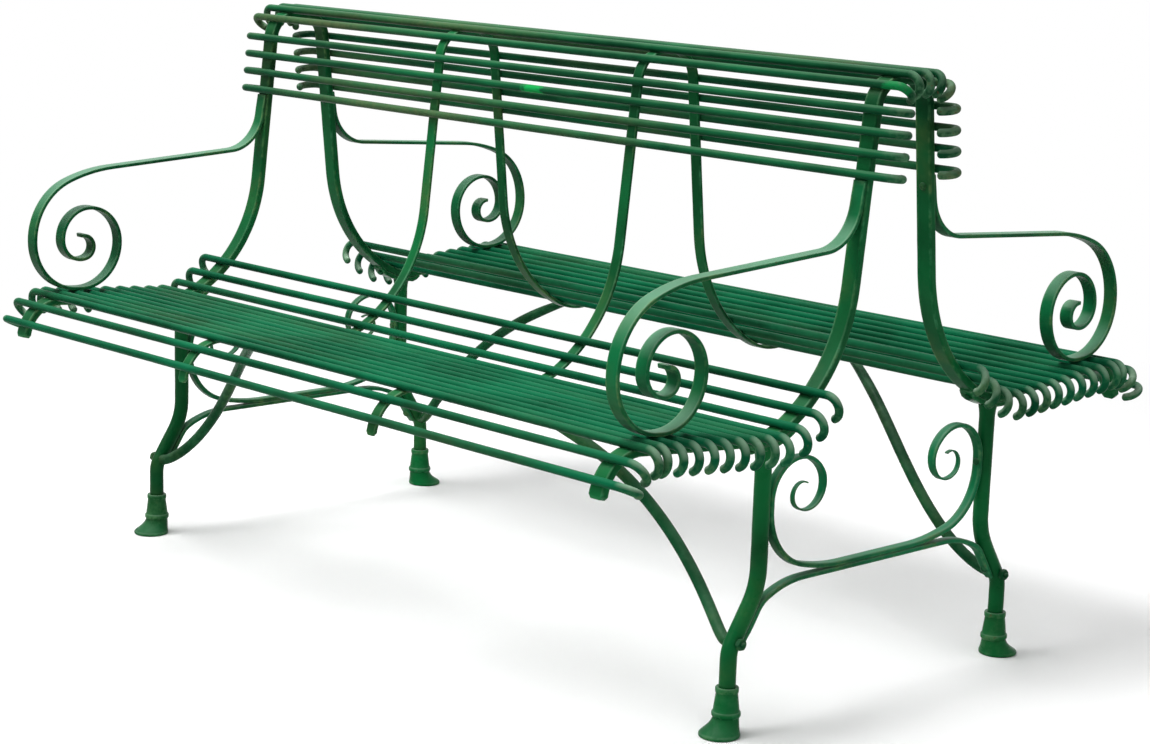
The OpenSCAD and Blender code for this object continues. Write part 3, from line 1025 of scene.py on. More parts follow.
# Each paint's pale tops and edges are partly a painted sheen, and its darker undersides a painted shade
FRAME_PAINT = PaintFinish("old_green_frame", "frame_paint", body="0a5a2e", deep_and_shade="063a1d", light="1c6a40",
                          dust_and_sheen="3f7d58", patches=0.25, bleaching_and_sheen=0.25)
SEAT_PAINT = PaintFinish("old_green_seat_rod", "rod_paint", body="075536", deep_and_shade="043a22", light="1f6f4b",
                         dust_and_sheen="2b7555", bleached_and_sheen="b0cbb2", worn="4a5436", patch_stretch=6.0, fade_and_sheen=0.35,
                         bleaching_and_sheen=1.0, shine=0.015)
BACK_PAINT = PaintFinish("old_green_back_rod", "rod_paint", body="0d5230", deep_and_shade="073820", light="327048",
                         dust_and_sheen="507c5c", rubbed_and_sheen="4b7555", worn="4e5638", wear=0.85, patches=0.8,
                         patch_stretch=6.0, fade_and_sheen=0.4, shine=0.03, dabs=BACK_DABS)
ARM_PAINT = PaintFinish("old_green_arm", "arm_paint", body="085a32", deep_and_shade="053d20", light="256f48",
                        dust_and_sheen="6c957c", patches=0.15, fade_and_sheen=0.62, bleaching_and_sheen=0.4)
LEG_PAINT = PaintFinish("old_green_leg", "leg_paint", body="0a5f30", deep_and_shade="05401e", light="1a6b3e",
                        dust_and_sheen="3f7d58", gloss=0.28)
FOOT_PAINT = PaintFinish("old_green_foot", "foot_paint", body="096834", deep_and_shade="064521", light="1f7546",
                         dust_and_sheen="3a8058", worn="4a6a3c", wear=0.6, fade_and_sheen=0.15, dents=0.6, grain=0.4,
                         gloss=0.24, bleaching_and_sheen=0.45)
BRACE_PAINT = PaintFinish("old_green_brace", "brace_paint", body="084e2a", deep_and_shade="043319", light="175c36",
                          dust_and_sheen="33684a", gloss=0.28)
STRAP_PAINT = PaintFinish("old_green_strap", "strap_paint", body="0c683f", deep_and_shade="074626", light="2e7a54",
                          dust_and_sheen="5d9478", fade_and_sheen=0.5, bleaching_and_sheen=0.4)
FASTENER_PAINT = PaintFinish("old_green_fastener", "fastener_paint", body="084c2a", deep_and_shade="05341b",
                             light="1f6a40", wear=0.7, grain=0.4, fade_and_sheen=0.1, bleaching_and_sheen=0.15)


# Pieces


@dataclass(frozen=True)
class Piece:
    """A finished piece with its record slot and the CAD nodes it stands for."""

    made: bpy.types.Object
    slot: str
    nodes: tuple[str, ...]

    def hand_over(self) -> None:
        """Fixes the piece to the frame and reports it."""
        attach(self.made, "root")
        if self.nodes:
            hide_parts(*self.nodes)
        LOG.info("%s: %d faces", self.made.name, len(self.made.data.polygons))


def dressed(piece: bpy.types.Object, finish: PaintFinish, *nodes: str) -> Piece:
    """Paints a piece, unless its node tree has done so.

    Args:
        piece: The object to paint.
        finish: Its paint.
        nodes: CAD nodes it stands for.

    Returns:
        The piece, ready to hand over.
    """
    if not piece.data.materials:
        piece.data.materials.append(finish.material())
    return Piece(piece, finish.slot, nodes)


@dataclass(frozen=True)
class SupportFrames:
    """Four bent bars, each one arch, two backs, two seats and two rolls."""

    sizes: BenchSizes
    tail: float = 0.004
    tail_cut: float = 0.005
    edge: float = 0.0019
    inner_edge: float = 0.0016
    dent: float = 0.0003

    def shape(self, width: float, along: float, length: float) -> Shape:
        """Cuts the corners of a bar near both ends.

        Args:
            width: Width of the bar.
            along: Distance from the start.
            length: Length of the path.

        Returns:
            The bar's shape there.
        """
        near = min(along, length - along)
        share = max(0.0, 1 - near / self.tail_cut)
        return Shape(across=1 - 2 * self.tail_cut / width * share, wear=1.0 if share > 0.5 else 0.0)

    def bar(self, name: str, x: float, width: float, depth: float, edge: float) -> bpy.types.Object:
        """Builds one frame bar.

        Args:
            name: Name of the piece.
            x: Place along the bench.
            width: Width of the bar.
            depth: Thickness of the bar.
            edge: Radius of its edges.

        Returns:
            The bar's object.
        """
        whole = self.sizes.half_frame().whole()
        cut = Run(self.tail_cut)
        tail = Run(self.tail)
        start = whole.start.moved(-self.tail - self.tail_cut, 0)
        path = Path(start, (cut, tail) + whole.runs + (tail, cut))
        made = IronMesh(self.dent)
        made.sweep(path, bar_section(width, -depth, 0.0, edge), Side.REAR, x, partial(self.shape, width))
        return made.build(name)

    def pieces(self) -> list[Piece]:
        """Builds and paints the four bars.

        Returns:
            The four pieces.
        """
        s = self.sizes
        bars = (("end", s.end_x, s.end_bar_width, s.end_bar_depth, self.edge),
                ("inner", s.inner_x, s.inner_bar_width, s.inner_bar_depth, self.inner_edge))
        made = []
        for end in End:
            side = end.name.lower()
            for kind, x, width, depth, edge in bars:
                bar = self.bar(f"bent_{kind}_bar_{side}", end.value * x, width, depth, edge)
                made.append(dressed(bar, FRAME_PAINT, f"{kind}_frame_{side}"))
        return made


class PieceTree:
    """A geometry node tree with named inputs that grows a piece from a base mesh."""

    INPUTS: dict[str, str] = {}

    def __init__(self, name: str) -> None:
        """Starts the tree with its inputs and its output.

        Args:
            name: Name of the tree.
        """
        self.tree = bpy.data.node_groups.new(name, "GeometryNodeTree")
        face = self.tree.interface
        face.new_socket(name="Geometry", in_out="OUTPUT", socket_type="NodeSocketGeometry")
        face.new_socket(name="Geometry", in_out="INPUT", socket_type="NodeSocketGeometry")
        self.keys: dict[str, str] = {}
        for label, kind in self.INPUTS.items():
            item = face.new_socket(name=label, in_out="INPUT", socket_type="NodeSocket" + kind)
            self.keys[label] = item.identifier

    def grow(self, name: str, base: bpy.types.Mesh, values: dict[str, object]) -> bpy.types.Object:
        """Runs the tree on a mesh and keeps only the plain result.

        Args:
            name: Name of the piece.
            base: Mesh that the tree starts from.
            values: Values of the tree's inputs by name.

        Returns:
            A new object with the evaluated mesh and no modifier.
        """
        seed = placed(name + "_seed", base)
        modifier = seed.modifiers.new("grow", "NODES")
        modifier.node_group = self.tree
        for label, value in values.items():
            modifier[self.keys[label]] = value
        graph = bpy.context.evaluated_depsgraph_get()
        mesh = bpy.data.meshes.new_from_object(seed.evaluated_get(graph), depsgraph=graph)
        mesh.name = name
        bpy.data.objects.remove(seed)
        return placed(name, mesh)


class RodTree(PieceTree):
    """Geometry nodes that bend a straight rod's two ends into hooks and set it on both seats."""

    INPUTS = {"Half Length": "Float", "Hook Radius": "Float", "Hook Turn": "Float", "Rod Radius": "Float",
              "Tip Length": "Float", "Place": "Vector", "Lean": "Vector", "Both Seats": "Bool",
              "Unevenness": "Float", "Seed": "Float", "Paint": "Material"}
    POINTS = 97
    SIDES = 16
    STRAIGHT = Ramp(0.0, 0.5)
    ARC = Ramp(0.5, 0.9)
    TIP = Ramp(0.9, 1.0)
    WORN = Ramp(0.5, 0.7)
    TIP_ROUNDING = 0.95
    WAVE_SCALE = 3.4
    WAVE_DETAIL = 2.0

    def __init__(self) -> None:
        """Builds the tree from the bent line to the painted rods."""
        super().__init__("hooked_rod")
        t = TreeMaker(self.tree)
        given = t.node("NodeGroupInput").outputs
        tube = self.tube(t, given)
        lean = t.node("FunctionNodeEulerToRotation", {0: given["Lean"]}).outputs[0]
        front = t.node("GeometryNodeTransform", {"Geometry": tube, "Translation": given["Place"],
                                                 "Rotation": lean}).outputs[0]
        half_turn = t.node("FunctionNodeEulerToRotation", {0: (0, 0, math.pi)}).outputs[0]
        rear = t.node("GeometryNodeTransform", {"Geometry": front, "Rotation": half_turn}).outputs[0]
        chosen = t.node("GeometryNodeSwitch", input_type="GEOMETRY")
        t.put(chosen.inputs["Switch"], given["Both Seats"])
        t.put(chosen.inputs["True"], rear)
        both = t.node("GeometryNodeJoinGeometry")
        t.put(both.inputs[0], front)
        t.put(both.inputs[0], chosen.outputs[0])
        uneven = t.node("GeometryNodeSetPosition", {"Geometry": both.outputs[0],
                                                    "Offset": self.waves(t, given)})
        smooth = t.node("GeometryNodeSetShadeSmooth", {"Geometry": uneven.outputs[0]})
        real = t.node("GeometryNodeRealizeInstances", {"Geometry": smooth.outputs[0]})
        paint = t.node("GeometryNodeSetMaterial", {"Geometry": real.outputs[0], "Material": given["Paint"]})
        t.node("NodeGroupOutput", {0: paint.outputs[0]})

    def tube(self, t: TreeMaker, given: bpy.types.NodeOutputs) -> bpy.types.NodeSocket:
        """Adds the hooked line and the tube round it.

        Args:
            t: Maker of the tree.
            given: Inputs of the tree.

        Returns:
            The tube's socket.
        """
        line = t.node("GeometryNodeCurvePrimitiveLine", {"Start": (-1, 0, 0), "End": (1, 0, 0)})
        curve = t.node("GeometryNodeResampleCurve", {"Curve": line.outputs[0], "Count": self.POINTS})
        index = t.node("GeometryNodeInputIndex").outputs[0]
        signed = t.math("SUBTRACT", t.math("DIVIDE", index, (self.POINTS - 1) / 2), 1.0)
        share = t.math("ABSOLUTE", signed)
        radius = given["Hook Radius"]
        tip_length = given["Tip Length"]
        before_tip = t.math("SUBTRACT", t.times(radius, given["Hook Turn"]), tip_length)
        arc = t.math("ADD", t.spread(share, self.ARC.between(0.0, before_tip)),
                     t.spread(share, self.TIP.between(0.0, tip_length)))
        angle = t.math("DIVIDE", arc, radius)
        reach = t.math("ADD", t.spread(share, self.STRAIGHT.between(0.0, given["Half Length"])),
                       t.times(radius, t.math("SINE", angle)))
        x = t.times(t.math("SIGN", signed), reach)
        z = t.times(radius, t.math("SUBTRACT", t.math("COSINE", angle), 1.0))
        spot = t.node("ShaderNodeCombineXYZ", {0: x, 2: z}).outputs[0]
        bent = t.node("GeometryNodeSetPosition", {"Geometry": curve.outputs[0], "Position": spot})
        # Marks the hooks as worn; the paint also lays its painted highlight on hook tops by this mark
        worn = t.mark(bent.outputs[0], WEAR, t.spread(share, self.WORN))
        tip = t.times(t.spread(share, self.TIP), self.TIP_ROUNDING)
        rounding = t.math("SQRT", t.math("SUBTRACT", 1.0, t.times(tip, tip)))
        ring = t.node("GeometryNodeCurvePrimitiveCircle", {"Resolution": self.SIDES,
                                                           "Radius": given["Rod Radius"]})
        return t.node("GeometryNodeCurveToMesh", {"Curve": worn, "Profile Curve": ring.outputs[0],
                                                  "Scale": rounding, "Fill Caps": True}).outputs[0]

    def waves(self, t: TreeMaker, given: bpy.types.NodeOutputs) -> bpy.types.NodeSocket:
        """Adds the rod's slow unevenness, across its length only.

        Args:
            t: Maker of the tree.
            given: Inputs of the tree.

        Returns:
            The offset's socket.
        """
        wave = t.node("ShaderNodeTexNoise", {"W": given["Seed"], "Scale": self.WAVE_SCALE,
                                             "Detail": self.WAVE_DETAIL}, noise_dimensions="4D")
        t.put(wave.inputs["Vector"], t.node("GeometryNodeInputPosition").outputs[0])
        level = t.vector("SUBTRACT", wave.outputs["Color"], (0.5, 0.5, 0.5)).outputs[0]
        shift = t.vector("SCALE", t.vector("MULTIPLY", level, (0, 2, 2)).outputs[0])
        t.put(shift.inputs["Scale"], given["Unevenness"])
        return shift.outputs[0]


class RodPlace(Enum):
    """Group of rods, by where they cross the frame curve."""

    ARCH = "arch"
    BACK = "back"
    BEND = "bend"
    SEAT = "seat"
    ROLL = "roll"


@dataclass(frozen=True)
class RodRow:
    """One rod, or a pair of equal rods, one on each seat side."""

    node: str
    place: RodPlace
    along: float
    paired: bool = True


@dataclass(frozen=True)
class HookedRods:
    """Round rods that lie on the four bars and end in hooks."""

    sizes: BenchSizes
    overhang: float = 0.038
    hook_radius: float = 0.018
    arch_hook_radius: float = 0.015
    hook_turn: float = 170
    seat_hook_lean: float = 0.4
    tip: float = 0.0042
    unevenness: float = 0.0007
    seed_step: float = 3.7

    def rows(self) -> list[RodRow]:
        """Lists every row of rods.

        Returns:
            The rows from the top of the arch to the roll.
        """
        s = self.sizes
        rows = [RodRow("arch_rod_top", RodPlace.ARCH, 0.0, False),
                RodRow("arch_rods_inner", RodPlace.ARCH, s.arch_place(1)),
                RodRow("arch_rods_outer", RodPlace.ARCH, s.arch_place(2))]
        groups = ((RodPlace.BACK, s.back_rods, s.back_place), (RodPlace.BEND, s.bend_rods, s.bend_place),
                  (RodPlace.SEAT, s.seat_rods, s.seat_place), (RodPlace.ROLL, s.roll_rods, s.roll_place))
        for place, count, along in groups:
            rows += [RodRow(f"{place.value}_rods_{i}", place, along(i)) for i in range(1, count + 1)]
        return rows

    def pieces(self, tree: RodTree) -> list[Piece]:
        """Builds and paints the rods.

        Args:
            tree: The rod's node tree.

        Returns:
            One piece for each row.
        """
        s = self.sizes
        made = []
        for number, row in enumerate(self.rows()):
            arch = row.place == RodPlace.ARCH
            share = self.seat_hook_lean if row.place in (RodPlace.SEAT, RodPlace.BEND) else 1.0
            pose = s.face(row.along).moved(0, s.rod_diameter / 2)
            paint = BACK_PAINT if arch or row.place == RodPlace.BACK else SEAT_PAINT
            values = {"Half Length": s.end_x + self.overhang,
                      "Hook Radius": self.arch_hook_radius if arch else self.hook_radius,
                      "Hook Turn": math.radians(self.hook_turn),
                      "Rod Radius": s.rod_diameter / 2,
                      "Tip Length": self.tip,
                      "Place": pose.at(Side.FRONT, 0.0),
                      "Lean": Vector((-math.radians(pose.heading * share), 0, 0)),
                      "Both Seats": row.paired,
                      "Unevenness": self.unevenness,
                      "Seed": self.seed_step * number,
                      "Paint": paint.material()}
            rod = tree.grow("hooked_" + row.node, bpy.data.meshes.new(row.node + "_base"), values)
            made.append(dressed(rod, paint, row.node))
        return made


class StudTree(PieceTree):
    """Geometry nodes that set one small domed form on every marked point."""

    INPUTS = {"Half Width": "Float", "Half Height": "Float", "Roughness": "Float", "Seed": "Int",
              "Paint": "Material"}
    STUD_WEAR = 0.5

    def __init__(self, name: str, segments: int, rings: int) -> None:
        """Builds the tree.

        Args:
            name: Name of the tree.
            segments: Faces round the form.
            rings: Faces from pole to pole.
        """
        super().__init__(name)
        t = TreeMaker(self.tree)
        given = t.node("NodeGroupInput").outputs
        ball = t.node("GeometryNodeMeshUVSphere", {"Segments": segments, "Rings": rings, "Radius": 1.0})
        reach = t.node("GeometryNodeInputNamedAttribute", {"Name": REACH}, data_type="FLOAT").outputs[0]
        facing = t.node("GeometryNodeInputNamedAttribute", {"Name": FACING}, data_type="FLOAT_VECTOR")
        turn = t.node("FunctionNodeAlignRotationToVector", {"Vector": facing.outputs[0]}, axis="Z",
                      pivot_axis="AUTO")
        size = t.node("ShaderNodeCombineXYZ", {0: reach, 1: given["Half Width"], 2: given["Half Height"]})
        chance = t.node("FunctionNodeRandomValue", data_type="FLOAT")
        least, most = [s for s in chance.inputs if s.type == "VALUE"][:2]
        t.put(least, t.math("SUBTRACT", 1.0, given["Roughness"]))
        t.put(most, 1.0)
        t.put(chance.inputs["Seed"], given["Seed"])
        scaled = t.vector("SCALE", size.outputs[0])
        t.put(scaled.inputs["Scale"], [s for s in chance.outputs if s.type == "VALUE"][0])
        studs = t.node("GeometryNodeInstanceOnPoints",
                       {"Instance": ball.outputs[0], "Points": given["Geometry"],
                        "Rotation": turn.outputs[0], "Scale": scaled.outputs[0]})
        real = t.node("GeometryNodeRealizeInstances", {"Geometry": studs.outputs[0]})
        worn = t.mark(real.outputs[0], WEAR, self.STUD_WEAR)
        smooth = t.node("GeometryNodeSetShadeSmooth", {"Geometry": worn})
        paint = t.node("GeometryNodeSetMaterial", {"Geometry": smooth.outputs[0],
                                                   "Material": given["Paint"]})
        t.node("NodeGroupOutput", {0: paint.outputs[0]})


@dataclass(frozen=True)
class Spot:
    """A marked point with the way it faces and its half length along the bench."""

    point: Vector
    facing: Vector
    reach: float


def marked(name: str, spots: list[Spot]) -> bpy.types.Mesh:
    """Makes a mesh of marked points.

    Args:
        name: Name of the mesh.
        spots: The points to mark.

    Returns:
        A mesh of loose points with their facing and reach.
    """
    mesh = bpy.data.meshes.new(name + "_spots")
    mesh.from_pydata([s.point for s in spots], [], [])
    facing = mesh.attributes.new(FACING, "FLOAT_VECTOR", "POINT")
    facing.data.foreach_set("vector", [v for s in spots for v in s.facing])
    reach = mesh.attributes.new(REACH, "FLOAT", "POINT")
    reach.data.foreach_set("value", [s.reach for s in spots])
    return mesh


def outward(pose: Pose, side: Side) -> Vector:
    """Returns the direction to the left of a pose, on one seat side."""
    h = math.radians(pose.heading)
    return Vector((0, -side.value * math.sin(h), math.cos(h)))


@dataclass(frozen=True)
class WeldBeads:
    """Paint-filled welds between the rods and the bars."""

    sizes: BenchSizes
    half_width: float = 0.0052
    half_height: float = 0.0026
    bar_share: float = 0.46
    arm_reach: float = 0.0095
    roughness: float = 0.18
    seed: int = 11

    def spots(self, rows: list[RodRow]) -> list[Spot]:
        """Marks every crossing of a rod and a bar, and the arms' stands on the seat.

        Args:
            rows: Rows of rods.

        Returns:
            The marked crossings.
        """
        s = self.sizes
        bars = ((s.end_x, s.end_bar_width), (s.inner_x, s.inner_bar_width))
        found = []
        for row in rows:
            pose = s.face(row.along)
            for side in Side if row.paired else (Side.FRONT,):
                for place, width in bars:
                    for end in End:
                        found.append(Spot(pose.at(side, end.value * place), outward(pose, side),
                                          width * self.bar_share))
        under_arm = s.face(s.seat_place(s.arm_rod)).moved(0, s.rod_diameter)
        for corner in CORNERS:
            found.append(Spot(corner.spot(under_arm, s.end_x), outward(under_arm, corner.side),
                              self.arm_reach))
        return found

    def pieces(self, rows: list[RodRow], tree: StudTree) -> list[Piece]:
        """Builds and paints the welds.

        Args:
            rows: Rows of rods.
            tree: The bead's node tree.

        Returns:
            One piece for all the welds.
        """
        values = {"Half Width": self.half_width, "Half Height": self.half_height,
                  "Roughness": self.roughness, "Seed": self.seed, "Paint": FRAME_PAINT.material()}
        beads = tree.grow("rod_welds", marked("rod_welds", self.spots(rows)), values)
        return [dressed(beads, FRAME_PAINT)]


@dataclass(frozen=True)
class Arms:
    """Four flat straps that scroll at the front and run back onto the end bars."""

    sizes: BenchSizes
    width: float = 0.022
    depth: float = 0.006
    edge: float = 0.0015
    dent: float = 0.00022
    climb: float = 3.5
    flat: float = 0.009
    low_radius: float = 0.080
    high_radius: float = 0.103
    high_turn: float = 73
    ease_radius: float = 0.284
    ease_turn: float = 17
    back_radius: float = 0.070
    gap: float = 0.002
    scroll_radii: tuple[float, ...] = (0.073, 0.059, 0.050, 0.034, 0.019)
    scroll_turn: float = 90
    heart_ease: float = 20
    heart_turn: float = 170
    tip_width: float = 0.72
    tip_rounding: float = 0.004
    thin_end: float = 0.25
    scarf: float = 0.030
    worn_heart: float = 0.020
    worn_end: float = 0.004
    ring_step: float = 0.008

    def foot(self) -> Pose:
        """Returns where the strap's middle line lies on the second seat rod."""
        s = self.sizes
        return s.face(s.seat_place(s.arm_rod)).moved(0, s.rod_diameter + self.depth / 2)

    def upper(self) -> tuple[Run, ...]:
        """Finds the runs from the seat rod up and back onto the end bar.

        Returns:
            The runs after the flat on the seat rod.
        """
        s = self.sizes
        heading = 180 - self.climb
        front = (Run(self.low_radius, heading - s.seat_slope - self.high_turn - self.ease_turn),
                 Run(self.high_radius, self.high_turn), Run(self.ease_radius, self.ease_turn))
        turn = Run(self.back_radius, 90 + s.back_lean - heading)
        fore = Path(self.foot().moved(self.flat / 2, 0), front).end()
        back = s.face(s.back_place(s.back_rods))
        shift = turn.after(Pose(0, 0, heading), turn.length())
        lean = math.radians(s.back_lean)
        off = Vector((math.cos(lean), math.sin(lean)))
        miss = Vector((fore.out + shift.out - back.out, fore.up + shift.up - back.up))
        way = Vector((math.cos(math.radians(heading)), math.sin(math.radians(heading))))
        reach = (self.depth / 2 - off.dot(miss)) / off.dot(way)
        on_back = Path(fore, (Run(reach), turn)).end()
        up = Vector((-math.sin(lean), math.cos(lean)))
        left = up.dot(Vector((back.out - on_back.out, back.up - on_back.up)))
        return front + (Run(reach), turn, Run(left - s.rod_diameter / 2 - self.gap))

    def path(self) -> Path:
        """Lays out the strap's middle line.

        Returns:
            The line from the scroll's heart to the strap's upper end.
        """
        full = self.scroll_turn
        bends = (full + self.sizes.seat_slope, full, full, full + self.heart_ease, self.heart_turn)
        scroll = Path(self.foot().moved(-self.flat / 2, 0).turned_back(),
                      tuple(Run(radius, -bend) for radius, bend in zip(self.scroll_radii, bends)))
        inwards = scroll.backwards()
        return Path(inwards.start, inwards.runs + (Run(self.flat),) + self.upper())

    def rivet(self) -> Pose:
        """Returns where the rivet crosses the strap's middle line at its upper end."""
        path = self.path()
        return path.pose(path.length() - path.runs[-1].length() / 2)

    def shape(self, along: float, length: float) -> Shape:
        """Rounds the scroll's tip and thins the upper end onto the bar.

        Args:
            along: Distance from the scroll's heart.
            length: Length of the strap.

        Returns:
            The strap's shape there.
        """
        left = length - along
        across = self.tip_width + (1 - self.tip_width) * rounded(along, self.tip_rounding)
        wear = 1.0 if along < self.worn_heart or left < self.worn_end else 0.0
        return Shape(across=across, low=eased(left, self.scarf, self.thin_end), wear=wear)

    def pieces(self) -> list[Piece]:
        """Builds and paints the four arms.

        Returns:
            The four pieces.
        """
        section = bar_section(self.width, -self.depth / 2, self.depth / 2, self.edge)
        made = []
        for corner in CORNERS:
            strap = IronMesh(self.dent)
            strap.sweep(self.path(), section, corner.side, corner.x(self.sizes.end_x), self.shape,
                        self.ring_step)
            arm = strap.build(f"scrolled_arm_{corner.name}")
            made.append(dressed(arm, ARM_PAINT, f"arm_{corner.name}"))
        return made


@dataclass(frozen=True)
class Legs:
    """Four round legs with forged saddles under the end bars."""

    sizes: BenchSizes
    dent: float = 0.0004
    collar_start: float = 0.004
    collar: float = 0.012
    collar_grow: float = 0.22
    saddle_edge: float = 0.0018
    saddle_thin: float = 0.012
    saddle_rounding: float = 0.004
    saddle_tip_width: float = 0.9
    saddle_tip_depth: float = 0.75
    ring_step: float = 0.009
    saddle_step: float = 0.005
    saddle_fine: float = 4.0

    def leg_shape(self, along: float, length: float) -> Shape:
        """Widens the leg's top into its saddle.

        Args:
            along: Distance from the saddle.
            length: Length of the leg; not used.

        Returns:
            The leg's shape there.
        """
        rise = max(0.0, 1 - max(0.0, along - self.collar_start) / self.collar)
        grow = 1 + self.collar_grow * rise * rise
        return Shape(across=grow, low=grow, high=grow)

    def saddle_shape(self, along: float, length: float) -> Shape:
        """Thins the saddle towards both ends.

        Args:
            along: Distance from its start.
            length: Length of the saddle.

        Returns:
            The saddle's shape there.
        """
        near = min(along, length - along)
        return Shape(across=eased(near, self.saddle_rounding, self.saddle_tip_width),
                     low=eased(near, self.saddle_thin, self.saddle_tip_depth))

    def saddle_path(self) -> Path:
        """Cuts the saddle's line out of the bar's outer face.

        Returns:
            The line past both rivets.
        """
        s = self.sizes
        first, last = s.saddle_rivets()
        start = first - s.rivet_margin
        stop = last + s.rivet_margin
        runs = []
        passed = 0.0
        for run in s.half_frame().runs:
            part = min(stop, passed + run.length()) - max(start, passed)
            if part > 0:
                runs.append(Run(run.size, run.turn * part / run.length()) if run.turn else Run(part))
            passed += run.length()
        return Path(s.face(start), tuple(runs))

    def pieces(self) -> list[Piece]:
        """Builds and paints the four legs.

        Returns:
            The four pieces.
        """
        s = self.sizes
        saddle = bar_section(s.end_bar_width, -s.end_bar_depth - s.saddle_depth, -s.end_bar_depth,
                             self.saddle_edge)
        round_bar = round_section(s.leg_diameter)
        made = []
        for corner in CORNERS:
            leg = IronMesh(self.dent)
            x = corner.x(s.end_x)
            leg.sweep(s.leg_path(), round_bar, corner.side, x, self.leg_shape, self.ring_step)
            leg.sweep(self.saddle_path(), saddle, corner.side, x, self.saddle_shape, self.saddle_step,
                      self.saddle_fine)
            made.append(dressed(leg.build(f"round_leg_{corner.name}"), LEG_PAINT, f"leg_{corner.name}"))
        return made


@dataclass(frozen=True)
class Feet:
    """Four cast feet with a collar, a ring and a flared base that reaches outwards."""

    sizes: BenchSizes
    reach: float = 0.012
    sides: int = 44
    sharp: float = 60
    sole: float = 0.001
    dent: float = 0.0004
    dent_scale: float = 90
    plain_wear: float = 0.15
    rims: tuple[tuple[float, float], ...] = ((-1.0, 0.006), (0.026, 0.034), (0.060, 1.0))
    profile: tuple[tuple[float, float, float], ...] = (
        (0.0000, 0.0265, 1.00), (0.0008, 0.0283, 1.00), (0.0024, 0.0290, 1.00), (0.0046, 0.0288, 0.98),
        (0.0068, 0.0274, 0.88), (0.0100, 0.0249, 0.64), (0.0140, 0.0222, 0.38), (0.0185, 0.0201, 0.17),
        (0.0230, 0.0188, 0.05), (0.0255, 0.0184, 0.00), (0.0262, 0.0195, 0.00), (0.0276, 0.0203, 0.00),
        (0.0300, 0.0205, 0.00), (0.0324, 0.0203, 0.00), (0.0337, 0.0195, 0.00), (0.0344, 0.0184, 0.00),
        (0.0400, 0.0178, 0.00), (0.0470, 0.0170, 0.00), (0.0540, 0.0161, 0.00), (0.0590, 0.0155, 0.00),
        (0.0600, 0.0160, 0.00), (0.0612, 0.0164, 0.00), (0.0640, 0.0165, 0.00), (0.0666, 0.0164, 0.00),
        (0.0677, 0.0159, 0.00), (0.0680, 0.0150, 0.00), (0.0678, 0.0133, 0.00), (0.0668, 0.0121, 0.00))

    def pieces(self) -> list[Piece]:
        """Builds and paints the four feet.

        Returns:
            The four pieces.
        """
        under_leg = self.sizes.leg_path().end()
        rings = [(height, radius, shift * self.reach) for height, radius, shift in self.profile]
        made = []
        for corner in CORNERS:
            side = corner.side.value
            centre = Vector((corner.x(self.sizes.end_x), side * under_leg.out, 0))
            turn = Matrix.Rotation(math.radians(side * 90), 4, "Z")
            foot = IronMesh()
            foot.turned(rings, Matrix.Translation(centre) @ turn, self.sides)
            self.roughen(foot, centre)
            made.append(dressed(foot.build(f"cast_foot_{corner.name}", self.sharp), FOOT_PAINT,
                                f"foot_{corner.name}"))
        return made

    def roughen(self, foot: IronMesh, centre: Vector) -> None:
        """Dents the casting and marks the wear on its rims.

        Args:
            foot: The foot's mesh.
            centre: Middle of the sole.
        """
        for i, point in enumerate(foot.points):
            rim = any(low < point.z < high for low, high in self.rims)
            foot.wear[i] = 1.0 if rim else self.plain_wear
            inward = Vector((centre.x - point.x, 0, 0))
            if point.z > self.sole and inward.length > TINY:
                foot.points[i] = point + inward.normalized() * self.dent * hollow(point, self.dent_scale)


